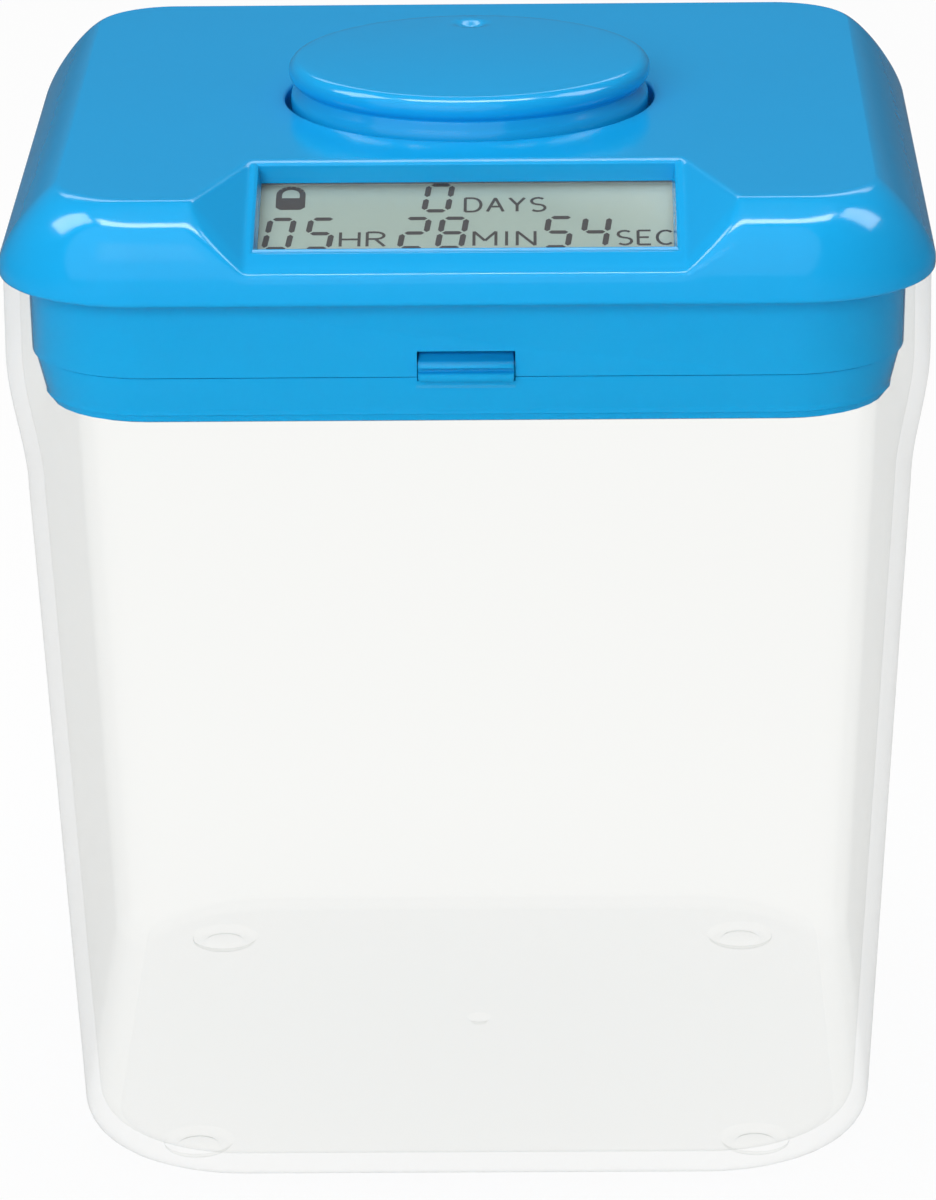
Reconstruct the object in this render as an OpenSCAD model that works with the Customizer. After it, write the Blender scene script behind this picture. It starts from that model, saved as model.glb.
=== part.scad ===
// Timed lock container: a clear tub with a lid that locks itself shut for a set time.
// The lid holds a push dial, a tilted display, two sliding bolts on a cam wheel,
// a geared motor, a control board and two round cells behind a hinged door.
// Millimetres, +Z up, front towards -Y, origin at the middle of the base on the table.

/* [Container] */
// Height of the clear tub, feet included
container_h = 156.7; // [150:0.1:180]
// Outer width of the collar round the lid
container_w = 151.2; // [151:0.1:152]
// Outer width just under the flare
container_body_w = 145.6; // [142:0.1:146]
// Outer width at the base, before its rounded edge
container_base_w = 133.6; // [130:0.1:140]
// Thickness of the tub wall
container_wall = 2.6; // [2.4:0.1:3]
// Thickness of the tub floor
container_floor = 3; // [2:0.1:5]
// Outer corner radius at the collar
container_corner_r = 24; // [20:0.5:28]
// Outer corner radius at the base
container_base_corner_r = 28; // [22:0.5:32]
// Radius of the rounded bottom edge
container_edge_r = 6; // [4:0.5:8]
// Height of the straight collar
collar_h = 13.7; // [12:0.1:14.5]
// Height of the flare below the collar
flare_h = 24; // [16:0.5:30]
// Radius of each foot
foot_r = 5.8; // [4:0.1:7]
// Height of each foot
foot_h = 1; // [0.6:0.1:2]
// Radius of the dimple under each foot
foot_dimple_r = 3.4; // [2:0.1:3.6]
// Distance between the feet, centre to centre
foot_spacing = 95.2; // [80:0.2:100]

/* [Lid shell] */
// Outer width of the lid
lid_w = 152.4; // [152:0.1:154]
// Outer corner radius of the lid
lid_corner_r = 23; // [20:0.5:26]
// Height of the lid top above its rim
lid_rise = 15.5; // [15:0.1:18]
// Width of the rounded shoulder between the flat top and the rim
shoulder_w = 10; // [8:0.1:11]
// Height of the upright band above the rim
rim_h = 2; // [1.5:0.1:3]
// Thickness of the lid shell
lid_wall = 2.2; // [1.8:0.1:2.4]
// Rest gap between the lid and the tub's top edge
lid_gap = 0.3; // [0.2:0.05:0.5]
// Depth of the skirt that plugs the tub
skirt_drop = 13.3; // [13:0.1:13.6]
// Gap between the skirt and the tub wall
skirt_gap = 1.8; // [1.6:0.1:2]
// Thickness of the skirt wall
skirt_wall = 1.9; // [1.6:0.1:2.2]
// Height of the skirt's top flange
flange_t = 2; // [1.5:0.1:2.5]
// Depth of the bottom cover below the skirt
bottom_drop = 8.7; // [8.5:0.1:9.5]
// Step in from the skirt to the bottom cover
bottom_step = 0.5; // [0.3:0.1:0.8]
// How far the bottom cover tapers in on each side
bottom_taper = 1.4; // [1:0.1:2]
// Thickness of the bottom cover's plate
bottom_plate = 2; // [1.8:0.1:2.2]
// Gap between pieces that are screwed or clipped together
fit_gap = 0.1; // [0.05:0.05:0.2]

/* [Display] */
// Tilt of the display facet
display_tilt = 17; // [16:0.5:18]
// Distance of the facet's back edge behind the lid's front
display_back = 33; // [32.2:0.1:33.7]
// Width of the display facet
display_w = 70.6; // [70.4:0.1:72]
// Distance of the facet's front edge behind the lid's front
display_front = 3.2; // [2.7:0.1:3.7]
// Width of the flat top between the two front kinks
kink_w = 88; // [84:0.5:90]
// Distance of the flat top's front edge behind the lid's front
band_front = 7.9; // [7.2:0.1:8.7]
// Tilt of the narrow band in front of the flat top
band_tilt = 30; // [26:1:34]
// Tilt of the narrow band in front of the display facet
lip_tilt = 23; // [20:1:26]
// Width of the display opening
window_w = 69; // [66:0.1:69.4]
// Length of the display opening up the slope
window_l = 27.7; // [26:0.1:28]
// Depth from the facet down to the clear window
window_depth = 3.4; // [3:0.1:3.8]
// Thickness of the clear window
lens_t = 0.8; // [0.6:0.1:1]
// Thickness of the liquid crystal panel
lcd_t = 1.1; // [1:0.1:1.6]
// Height of the rubber connector strips
strip_h = 1.6; // [1.4:0.1:2]
// Thickness of the display board
display_board_t = 1; // [0.8:0.1:1.2]

/* [Dial] */
// Radius of the dial's rim
dial_r = 30.6; // [29:0.1:31]
// Gap between the dial's neck and the hole in the lid
dial_gap = 0.95; // [0.7:0.05:1.2]
// Height of the dial above the lid
dial_rise = 7.4; // [7:0.1:9]
// Wall of the hollow dial
dial_wall = 2.2; // [2:0.1:2.4]
// Travel of the dial when it is pressed
dial_travel = 1; // [0.6:0.1:1.2]
// Radius of the finger dimple
dimple_r = 2.9; // [2.4:0.1:4]
// Distance of the finger dimple from the middle
dimple_offset = 22; // [16:0.5:23]
// Radius of the encoder's shaft
shaft_r = 3; // [2.8:0.1:3.2]

/* [Lock] */
// Width of each bolt
bolt_w = 15.5; // [12:0.5:16]
// Thickness of each bolt
bolt_t = 3.4; // [3.2:0.1:3.6]
// Travel of each bolt
bolt_travel = 2; // [1.8:0.1:2.05]
// How far a drawn-in bolt stands out of the skirt
bolt_nose = 1.3; // [1:0.1:1.35]
// Depth of each bolt pocket in the collar
pocket_depth = 1.65; // [1.6:0.05:1.7]
// Clearance round each bolt
bolt_gap = 0.25; // [0.2:0.05:0.3]
// Module of the gear teeth
gear_module = 1; // [0.96:0.01:1.02]
// Teeth of the lock wheel
wheel_teeth = 40; // [38:1:42]
// Teeth of the idler's small gear
small_teeth = 14; // [13:1:15]
// Teeth of the idler's large gear
large_teeth = 26; // [24:1:28]
// Teeth of the motor pinion
pinion_teeth = 12; // [11:1:13]
// Thickness of the lock wheel
wheel_t = 3; // [2.6:0.1:3.2]
// Radius of the pins that follow the cam slots
follower_r = 1.5; // [1.2:0.1:1.8]
// Radius at which a drawn-in follower pin sits
cam_r = 12; // [11:0.1:12.5]
// Radius of the lock wheel's axle
axle_r = 2.5; // [2:0.1:3]
// Radius of the idler's axle
idler_axle_r = 1.5; // [1.2:0.1:1.8]
// Running clearance between a shaft and its bore
running_gap = 0.05; // [0.03:0.01:0.08]

/* [Motor and boards] */
// Height of the motor can
motor_h = 14.6; // [14:0.1:15]
// Diameter of the motor can
motor_d = 12; // [11:0.1:13]
// Width of the motor across its flats
motor_flat = 10; // [9:0.1:10.8]
// Radius of the motor shaft
motor_shaft_r = 0.75; // [0.6:0.05:1]
// Width and depth of the control board
board_w = 92; // [90:0.5:94]
// Thickness of the control board
board_t = 1.6; // [1.2:0.1:1.8]
// Radius of the screws
screw_r = 1.4; // [1.2:0.1:1.6]
// Distance of each cover screw in from the skirt's sides
post_offset = 16.2; // [15.2:0.1:18.2]
// Distance of each board screw in from the board's edges
board_screw_offset = 4; // [3.2:0.1:4.6]

/* [Batteries] */
// Diameter of a cell
cell_d = 14.4; // [14:0.1:14.5]
// Length of a cell's case
cell_l = 49.2; // [48:0.1:50]
// Distance of the bay's inner side from the middle
bay_inner_x = 30.6; // [30:0.1:31]
// Thickness of the bay walls
bay_wall = 1.6; // [1.2:0.1:1.6]
// Thickness of the battery door
door_t = 1.8; // [1.6:0.1:1.8]
// Gap round the battery door
door_gap = 0.3; // [0.2:0.05:0.4]
// Radius of the door's hinge pin
hinge_pin_r = 0.6; // [0.5:0.05:0.7]
// Radius of the door's hinge barrel
barrel_r = 1.3; // [1.2:0.05:1.35]

/* [Hidden] */

// Facets of true circles, of lofted corners and of the flare
$fn = 64;
corner_steps = 8;
flare_steps = 6;
edge_steps = 4;
shoulder_steps = 8;
// Exponents of the shoulder: fuller than an ellipse at the front, flatter at the sides and back
front_power = 2.27;
side_power = 1.3;
// A length that takes a cut clear of a surface
over = 1;

// Heights of the lid's levels
rim_z = container_h + lid_gap;
top_z = rim_z + lid_rise;
parting_z = rim_z - skirt_drop;
underside_z = parting_z - bottom_drop;
floor_z = underside_z + bottom_plate;

// Half widths of the tub and of the skirt that plugs it
collar_z = container_h - collar_h;
flare_z = collar_z - flare_h;
collar_inner = container_w / 2 - container_wall;
skirt_half = collar_inner - skirt_gap;
skirt_inner = skirt_half - skirt_wall;
skirt_corner_r = container_corner_r - container_wall - skirt_gap;
// The skirt flares out a little towards its flange
skirt_flare = 0.3;
flange_half = lid_w / 2 - lid_wall - fit_gap;
bottom_half = skirt_half - bottom_step;

// Places of the display facet and the flat top, in front of the middle, and the slopes there
facet_back = lid_w / 2 - display_back;
facet_front = lid_w / 2 - display_front;
flat_front = lid_w / 2 - band_front;
facet_slope = tan(display_tilt);
facet_front_z = top_z - (facet_front - facet_back) * facet_slope;
kink_drop = (flat_front - facet_back) * facet_slope;
side_spread = (kink_w - display_w) / 2 / kink_drop;
lip_slope = tan(lip_tilt);
kink_over_lip = top_z - facet_front_z - (facet_front - flat_front) * lip_slope;
lip_spread = (kink_w - display_w) / 2 / kink_over_lip;

// The display stack, in the facet's own frame: X across, Y up the slope, Z out
window_edge = 0.5;
stack_gap = 0.1;
stack_side = 1;
lens_z = -window_depth;
lcd_z = lens_z - lens_t - stack_gap;
strip_z = lcd_z - lcd_t;
display_board_z = strip_z - strip_h;
stack_w = window_w + 2 * stack_side;
stack_y0 = -window_edge - window_l - stack_side;
stack_y1 = stack_side - window_edge;
stack_wall = 1.2;
strip_w = 2.4;
strip_inset = 2;
strip_end = 3;
display_screw_x = stack_w / 2 + stack_wall + 2.9;
display_screw_y = -14;
display_screw_r = 0.9;
display_boss_r = 2.2;
display_screw_l = 5;
ribbon_y = -facet_back - 1 - display_board_z * sin(display_tilt);
ribbon_t = 0.3;
ribbon_sag = 0.8;

// The dial and its well
neck_r = dial_r - 0.3;
groove_r = neck_r - 1;
dial_hole_r = neck_r + dial_gap;
dial_top_z = top_z + dial_rise;
dome_sag = 0.5;
rim_edge_r = 2.1;
well_wall = 1.8;
well_floor_t = 1.8;
dial_skirt_z = top_z - 3.4;
well_floor_z = dial_skirt_z - dial_travel - 0.6;
well_z = well_floor_z - well_floor_t;
bush_r = shaft_r + 0.7;
bush_hole_r = bush_r + 0.6;
hub_r = shaft_r + 3.6;

// The control board hangs from bosses in the lid, with the encoder at its middle
board_top_z = well_z - 6.7;
board_z = board_top_z - board_t;
encoder_w = 12.4;
encoder_h = 6.5;
encoder_top_z = board_top_z + encoder_h;
encoder_cavity_r = 4.6;
slider_r = encoder_cavity_r - 0.3;
slider_t = 1.3;
dome_h = dial_travel + 0.8;
dome_r = 3;
slider_z = board_top_z + dome_h + 0.1;
shaft_z = slider_z + slider_t + 0.1;
shaft_top_z = dial_top_z - dial_wall - dome_sag - 0.6;
bush_top_z = well_floor_z + 2.4;
hub_z = bush_top_z + dial_travel + 0.4;
board_boss_r = 3;
board_half = board_w / 2;
board_screw_at = board_half - board_screw_offset;
post_at = skirt_half - post_offset;
board_screw_l = 8;
screw_head_r = 2 * screw_r;
screw_head_h = 1.4;
pilot_r = screw_r + 0.02;

// The bolts run in guides on the bottom cover, just over the parting line
bolt_z = parting_z - 0.5;
bolt_top_z = bolt_z + bolt_t;
slot_z = bolt_z - 0.3;
slot_h = 5.2;
slot_w = bolt_w + 0.3;
slot_reach = skirt_half + skirt_flare + over;
bolt_in = cam_r - follower_r - 0.6;
bolt_out = skirt_half + bolt_nose;
guide_t = 2.2;
nose_bevel = 0.9;
nose_groove = 0.3;
nose_groove_drop = 1.55;
pocket_y = collar_inner + pocket_depth;

// The cam wheel sits over the bolts
wheel_z = bolt_top_z + 0.5;
wheel_top_z = wheel_z + wheel_t;
cam_turn = 90;
cam_steps = 18;
cam_slot_w = 2 * (follower_r + 0.15);
washer_t = 0.6;
boss_r = 5;
pressure_angle = 25;
addendum = 0.95;
dedendum = 1.25;
backlash = 0.12;
wheel_pitch_r = gear_module * wheel_teeth / 2;
idler_x = gear_module * (wheel_teeth + small_teeth) / 2;
motor_angle = 50;
motor_reach = gear_module * (large_teeth + pinion_teeth) / 2;
motor_x = idler_x + motor_reach * cos(motor_angle);
motor_y = motor_reach * sin(motor_angle);
motor_z = floor_z + 0.3;
motor_top_z = motor_z + motor_h;
large_z = max(wheel_top_z + 1.3, motor_top_z + 0.6);
large_t = 2.4;
idler_axle_top_z = large_z + large_t + 0.5;
sensor_w = 4;
controller_size = [10, 10, 1.4];
driver_size = [6, 4, 1.2];
clock_size = [5, 4, 1.2];
capacitor_r = 2.5;
capacitor_h = 5;
socket_size = [10, 5, 5];
ribbon_w = 16;
ribbon_socket_size = [ribbon_w + 2, 1.2, 1.8];
sensor_gap = 1.2;

// The cells lie side by side over the door
cell_gap = 0.4;
bay_inner_w = 2 * cell_d + 3 * cell_gap;
bay_outer_x = bay_inner_x + bay_inner_w;
bay_half_l = cell_l / 2 + 3.6;
bay_top_z = board_z - 3;
cell_z = underside_z + door_t + 0.4 + cell_d / 2;
cell_x1 = bay_inner_x + cell_gap + cell_d / 2;
cell_x2 = cell_x1 + cell_d + cell_gap;
nub_r = 2.6;
nub_l = 1.2;
hinge_x = bay_outer_x + bay_wall + barrel_r + door_gap;
hinge_z = underside_z + barrel_r;
door_half_l = bay_half_l + 0.2;
door_inner_x = bay_inner_x - 0.6;
ear_l = 3;
ear_h = 3.4;
lead_r = 0.6;

BLUE = [0.2, 0.62, 0.88];
CLEAR = [0.85, 0.9, 0.92, 0.35];
STEEL = [0.7, 0.72, 0.74];
GREEN = [0.1, 0.4, 0.25];
DARK = [0.15, 0.15, 0.16];

// Rounded square: points at height z, corner steps shared by every ring of a loft.
// Its front stands out by reach.
function ring(half, r, z, reach = 0) = [
  for (q = [0:3], k = [0:corner_steps])
    let (
      a = 90 * q + 90 * k / corner_steps,
      c = half - r,
      cx = (q == 0 || q == 3) ? c : -c,
      cy = (q < 2) ? c : -c - reach
    )
    [cx + r * cos(a), cy + r * sin(a), z]
];

function blend(a, b, t) = a + (b - a) * t;

function smooth(t) = t * t * (3 - 2 * t);

// Half width of the tub's outside at height z, without its rounded bottom edge
function tub_half(z) =
  z < flare_z
    ? blend(container_base_w, container_body_w, (z - foot_h) / (flare_z - foot_h)) / 2
    : blend(container_body_w, container_w, smooth(min(1, (z - flare_z) / flare_h))) / 2;

function tub_corner(z) =
  blend(container_base_corner_r, container_corner_r, min(1, (z - foot_h) / (collar_z - foot_h)));

// One ring of the tub, moved in by inset, with its bottom edge rounded by r above z0
function tub_ring(z, inset, z0, r) =
  let (
    d = max(0, r - (z - z0)),
    edge = r - sqrt(max(0, r * r - d * d))
  )
  ring(tub_half(z) - inset - edge, tub_corner(z) - inset - edge, z);

// Heights of the rings of a tub shell that starts at z0 with edge radius r
function tub_levels(z0, r, z1) = concat(
  [for (k = [0:edge_steps]) z0 + r * (1 - cos(90 * k / edge_steps))],
  [for (k = [0:flare_steps]) flare_z + flare_h * k / flare_steps],
  [z1]
);

// Half width of the lid's crown at height z, for a crown moved in by inset all round
function crown_half(z, inset, power) =
  let (
    base = rim_z + rim_h,
    t = min(1, max(0, (z - base) / (top_z - inset - base)))
  )
  lid_w / 2 - shoulder_w - inset + shoulder_w * pow(1 - pow(t, power), 1 / power);

function crown_levels(z1) = [
  for (k = [0:shoulder_steps])
    blend(rim_z + rim_h, z1, sin(90 * k / shoulder_steps))
];

module loft(rings) {
  m = len(rings[0]);
  n = len(rings);
  polyhedron(
    points = [for (one = rings, p = one) p],
    faces = concat(
      [[for (i = [0:m - 1]) i]],
      [[for (i = [0:m - 1]) n * m - 1 - i]],
      [
        for (j = [0:n - 2], i = [0:m - 1])
          let (a = j * m + i, b = j * m + (i + 1) % m)
          [a, a + m, b + m, b]
      ]
    )
  );
}

module at_corners(offset) {
  for (sx = [-1, 1], sy = [-1, 1])
    translate([sx * offset, sy * offset, 0]) children();
}

// A block with given low and high corners
module block(low, high) {
  translate(low) cube(high - low);
}

// Places children in the frame of the tilted display facet
module on_facet() {
  translate([0, -facet_back, top_z]) rotate([display_tilt, 0, 0]) children();
}

// A shaft or bore along Z between two heights
module post(r, z0, z1) {
  translate([0, 0, z0]) cylinder(r = r, h = z1 - z0);
}

module tube(r, bore, z0, z1) {
  difference() {
    post(r, z0, z1);
    post(bore, z0 - over, z1 + over);
  }
}

// A wire of round section in the upright plane at x, through points [y, z], mitred at its bends
module wire(x, path) {
  n = len(path);
  sides = 10;
  function away(k) = path[k + 1] - path[k];
  function way(k) = away(k) / norm(away(k));
  loop = [for (k = [0:n - 1])
    let (
      before = way(max(0, k - 1)),
      after = way(min(n - 2, k)),
      mean = (before + after) / norm(before + after),
      miter = 1 / (mean * after)
    )
    for (j = [0:sides - 1])
      let (
        a = 360 * j / sides,
        side = lead_r * cos(a) * miter
      )
      [x + lead_r * sin(a), path[k][0] - mean[1] * side, path[k][1] + mean[0] * side]];
  polyhedron(
    points = loop,
    faces = concat(
      [[for (j = [0:sides - 1]) j]],
      [[for (j = [0:sides - 1]) n * sides - 1 - j]],
      [
        for (k = [0:n - 2], j = [0:sides - 1])
          let (
            low = k * sides + j,
            next = k * sides + (j + 1) % sides
          )
          [low, low + sides, next + sides, next]
      ]
    )
  );
}

// A self-tapping screw whose head rests at z and whose shank points up
module screw(z, r, head_r, head_h, length) {
  difference() {
    union() {
      post(head_r, z - head_h, z);
      post(r, z - fit_gap, z + length);
    }
    for (a = [0, 90]) rotate(a)
      block([-head_r * 0.6, -head_r * 0.12, z - head_h - over], [head_r * 0.6, head_r * 0.12, z - head_h / 2]);
  }
}

// A wedge that opens upwards above a plane that falls towards -Y through (y0, z0)
module falling_wedge(y0, z0, slope, half, spread) {
  front = lid_w / 2 + 6;
  up = top_z + 6;
  back = y0 - (up - z0) / slope;
  front_z = z0 - (front - y0) * slope;
  wide = half + (up - front_z) * spread;
  polyhedron(
    points = [
      [-half, -back, up], [half, -back, up],
      [half, -front, front_z], [-half, -front, front_z],
      [wide, -front, up], [-wide, -front, up]
    ],
    faces = [[0, 3, 2, 1], [0, 1, 4, 5], [2, 3, 5, 4], [1, 2, 4], [0, 5, 3]]
  );
}

// All that the display notch and the front bands take off the crown, sunk by drop
module crown_cuts(drop) {
  translate([0, 0, -drop]) {
    falling_wedge(facet_back, top_z, facet_slope, display_w / 2, side_spread);
    falling_wedge(facet_front, facet_front_z, lip_slope, display_w / 2, lip_spread);
    falling_wedge(flat_front, top_z, tan(band_tilt), lid_w / 2 + over, 0);
  }
}

module crown(inset) {
  z1 = top_z - inset;
  z0 = inset > 0 ? rim_z - over : rim_z;
  base = ring(lid_w / 2 - inset, lid_corner_r - inset, z0);
  shoulder = [
    for (z = crown_levels(z1))
      let (
        half = crown_half(z, inset, side_power),
        reach = crown_half(z, inset, front_power) - half
      )
      ring(half, lid_corner_r - (lid_w / 2 - half), z, reach)
  ];
  loft(concat([base], shoulder));
}

// Outline of a gear with involute teeth, one tooth on the X axis
function involute(rb, r) =
  let (t = sqrt(max(0, pow(r / rb, 2) - 1)))
  t * 180 / PI - atan(t);

module gear_outline(teeth) {
  pitch_r = gear_module * teeth / 2;
  base_r = pitch_r * cos(pressure_angle);
  root_r = pitch_r - dedendum * gear_module;
  tip_r = pitch_r + addendum * gear_module;
  thin = backlash / pitch_r * 90 / PI;
  levels = [root_r, max(base_r, root_r + 0.1), (max(base_r, root_r) + tip_r) / 2, tip_r];
  halves = [
    for (r = levels)
      90 / teeth - thin + involute(base_r, pitch_r) - involute(base_r, r)
  ];
  polygon([
    for (i = [0:teeth - 1], side = [-1, 1], k = [0:3])
      let (
        j = side < 0 ? k : 3 - k,
        a = 360 * i / teeth + side * halves[j]
      )
      [levels[j] * cos(a), levels[j] * sin(a)]
  ]);
}

// Slot that a follower pin runs in: a spiral that gains bolt_travel in a quarter turn
module cam_slot(start) {
  function edge(side) = [
    for (k = [0:cam_steps])
      let (
        t = k / cam_steps,
        r = cam_r + bolt_travel * t + side * cam_slot_w / 2,
        a = start - cam_turn * t
      )
      [r * cos(a), r * sin(a)]
  ];
  inner = edge(-1);
  polygon(concat(edge(1), [for (k = [cam_steps:-1:0]) inner[k]]));
  for (t = [0, 1]) rotate(start - cam_turn * t)
    translate([cam_r + bolt_travel * t, 0]) circle(r = cam_slot_w / 2);
}

module container() {
  color(CLEAR) difference() {
    union() {
      loft([for (z = tub_levels(foot_h, container_edge_r, container_h))
        tub_ring(z, 0, foot_h, container_edge_r)]);
      at_corners(foot_spacing / 2) post(foot_r, 0, foot_h + container_floor / 2);
    }
    inner_z = foot_h + container_floor;
    inner_r = container_edge_r - 1;
    loft([for (z = tub_levels(inner_z, inner_r, container_h + over))
      tub_ring(z, container_wall, inner_z, inner_r)]);
    at_corners(foot_spacing / 2) post(foot_dimple_r, -over, foot_h * 0.6);
    block(
      [-bolt_w / 2 - bolt_gap, -pocket_y, bolt_z - bolt_gap],
      [bolt_w / 2 + bolt_gap, pocket_y, bolt_top_z + bolt_gap]
    );
  }
}

module lid_top_cover() {
  color(BLUE) difference() {
    union() {
      difference() {
        difference() {
          crown(0);
          crown_cuts(0);
        }
        difference() {
          crown(lid_wall);
          crown_cuts(lid_wall);
        }
      }
      // Well that the dial turns in
      post(dial_hole_r + well_wall, well_z, top_z - lid_wall / 2);
      // Well that holds the display stack
      on_facet() block(
        [-stack_w / 2 - stack_wall, stack_y0 - stack_wall, display_board_z],
        [stack_w / 2 + stack_wall, stack_y1 + stack_wall, -lid_wall / 2]
      );
      for (side = [-1, 1]) on_facet() translate([side * display_screw_x, display_screw_y, 0])
        post(display_boss_r, display_board_z, 1.6);
      at_corners(post_at) post(screw_r + 2.2, floor_z + 4.6, top_z - lid_wall / 2);
      at_corners(board_screw_at) post(board_boss_r, board_top_z, top_z - lid_wall / 2);
    }
    post(dial_hole_r, well_floor_z, top_z + over);
    post(bush_hole_r, well_z - over, top_z);
    on_facet() {
      block(
        [-window_w / 2, -window_edge - window_l, lens_z - over],
        [window_w / 2, -window_edge, 3 * over]
      );
      block(
        [-stack_w / 2, stack_y0, display_board_z - over],
        [stack_w / 2, stack_y1, lens_z]
      );
      for (side = [-1, 1]) translate([side * display_screw_x, display_screw_y, 0])
        post(display_screw_r + 0.02, display_board_z - over, display_board_z + display_screw_l);
    }
    at_corners(post_at) post(pilot_r, floor_z, floor_z + 16);
    at_corners(board_screw_at) post(pilot_r, board_z, board_top_z + board_screw_l);
  }
}

// The skirt drops into the collar; its flange lies under the lid's rim
module lid_skirt() {
  flange_top = rim_z + flange_t;
  flange_corner = lid_corner_r - lid_wall - fit_gap;
  color(BLUE) difference() {
    union() {
      loft([
        ring(skirt_half, skirt_corner_r, parting_z),
        ring(skirt_half + skirt_flare, skirt_corner_r + skirt_flare, rim_z + fit_gap)
      ]);
      loft([
        ring(flange_half, flange_corner, rim_z),
        ring(flange_half, flange_corner, flange_top)
      ]);
    }
    loft([
      ring(skirt_inner, skirt_corner_r - skirt_wall, parting_z - over),
      ring(skirt_inner, skirt_corner_r - skirt_wall, flange_top + over)
    ]);
    block([-slot_w / 2, -slot_reach, parting_z - over], [slot_w / 2, slot_reach, slot_z + slot_h]);
    on_facet() block(
      [-stack_w / 2 - stack_wall - fit_gap, stack_y0 - stack_wall - fit_gap, display_board_z - 2],
      [stack_w / 2 + stack_wall + fit_gap, stack_y1, over]
    );
  }
}

module bolt_guides() {
  half = bolt_w / 2 + bolt_gap;
  reach = skirt_inner - 3;
  for (side = [-1, 1]) {
    for (end = [-1, 1]) {
      y0 = end > 0 ? bolt_in + 9 : -reach;
      x0 = side > 0 ? half : -half - guide_t;
      block([x0, y0, floor_z - fit_gap], [x0 + guide_t, y0 + reach - bolt_in - 9, bolt_top_z]);
    }
    // Runner under each bolt
    y1 = side > 0 ? bolt_in + 9 : -reach;
    block([-2, y1, floor_z - fit_gap], [2, y1 + reach - bolt_in - 9, bolt_z - fit_gap]);
  }
}

module battery_bay() {
  base_z = underside_z + door_t + door_gap;
  difference() {
    block(
      [-bay_outer_x - bay_wall, -bay_half_l - bay_wall, base_z],
      [-bay_inner_x + bay_wall, bay_half_l + bay_wall, bay_top_z]
    );
    block(
      [-bay_outer_x, -bay_half_l, base_z - over],
      [-bay_inner_x, bay_half_l, bay_top_z + over]
    );
  }
}

// The bottom cover carries the lock, the motor, the cells and the door
module lid_bottom_cover() {
  corner = skirt_corner_r - bottom_step;
  lip_h = 2;
  lip_half = skirt_inner - fit_gap;
  lip_corner = skirt_corner_r - skirt_wall - fit_gap;
  wall = skirt_wall;
  edge = 3;
  low_half = bottom_half - bottom_taper;
  color(BLUE) difference() {
    union() {
      difference() {
        union() {
          loft([
            ring(low_half - edge, corner - bottom_taper - edge, underside_z),
            ring(low_half - edge * 0.38, corner - bottom_taper - edge * 0.38, underside_z + edge * 0.22),
            ring(low_half, corner - bottom_taper, underside_z + edge),
            ring(bottom_half, corner, parting_z - 0.1)
          ]);
          loft([
            ring(lip_half, lip_corner, floor_z),
            ring(lip_half, lip_corner, parting_z + lip_h)
          ]);
        }
        loft([
          ring(low_half - wall, corner - bottom_taper - wall, floor_z),
          ring(lip_half - wall, lip_corner - wall, parting_z),
          ring(lip_half - wall, lip_corner - wall, parting_z + lip_h + over)
        ]);
        // Way through the rim for each bolt
        block([-slot_w / 2, -slot_reach, slot_z], [slot_w / 2, slot_reach, parting_z + lip_h + over]);
        // Opening over the cells
        block(
          [-hinge_x - barrel_r - door_gap, -door_half_l - door_gap, underside_z - over],
          [-door_inner_x + door_gap, door_half_l + door_gap, floor_z + over]
        );
      }
      battery_bay();
      bolt_guides();
      post(boss_r, floor_z - fit_gap, wheel_z - fit_gap);
      translate([idler_x, 0, 0]) post(boss_r - 1, floor_z - fit_gap, bolt_top_z - 0.4);
      at_corners(post_at) post(screw_r + 3.4, floor_z - fit_gap, floor_z + 4.4);
      // Cradle round the foot of the motor
      translate([motor_x, motor_y, 0]) difference() {
        post(motor_d / 2 + 1.8, floor_z - fit_gap, floor_z + 4);
        post(motor_d / 2 + fit_gap, floor_z, floor_z + 4 + over);
        block([-2, 0, floor_z], [2, motor_d, floor_z + 4 + over]);
      }
      // Ears that hold the door's hinge pin
      for (side = [-1, 1])
        block(
          [-hinge_x - 2, side * (door_half_l + door_gap + ear_l / 2) - ear_l / 2, underside_z],
          [-hinge_x + 2, side * (door_half_l + door_gap + ear_l / 2) + ear_l / 2, underside_z + ear_h]
        );
    }
    post(axle_r, floor_z, wheel_z);
    translate([idler_x, 0, 0]) post(idler_axle_r, floor_z, wheel_z);
    at_corners(post_at) {
      post(screw_r + 0.2, underside_z - over, floor_z + 6);
      post(screw_head_r + 0.3, underside_z - over, underside_z + screw_head_h + 0.6);
    }
    translate([-hinge_x, 0, hinge_z]) rotate([90, 0, 0])
      cylinder(r = hinge_pin_r, h = 2 * (door_half_l + door_gap + 2), center = true);
  }
}

module display_window() {
  color(CLEAR) on_facet() block(
    [-stack_w / 2 + fit_gap, stack_y0 + fit_gap, lens_z - lens_t],
    [stack_w / 2 - fit_gap, stack_y1 - fit_gap, lens_z]
  );
}

module lcd_panel() {
  color([0.66, 0.74, 0.7]) on_facet() block(
    [-stack_w / 2 + stack_wall, stack_y0 + stack_wall, strip_z],
    [stack_w / 2 - stack_wall, stack_y1 - stack_wall, lcd_z]
  );
}

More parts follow.
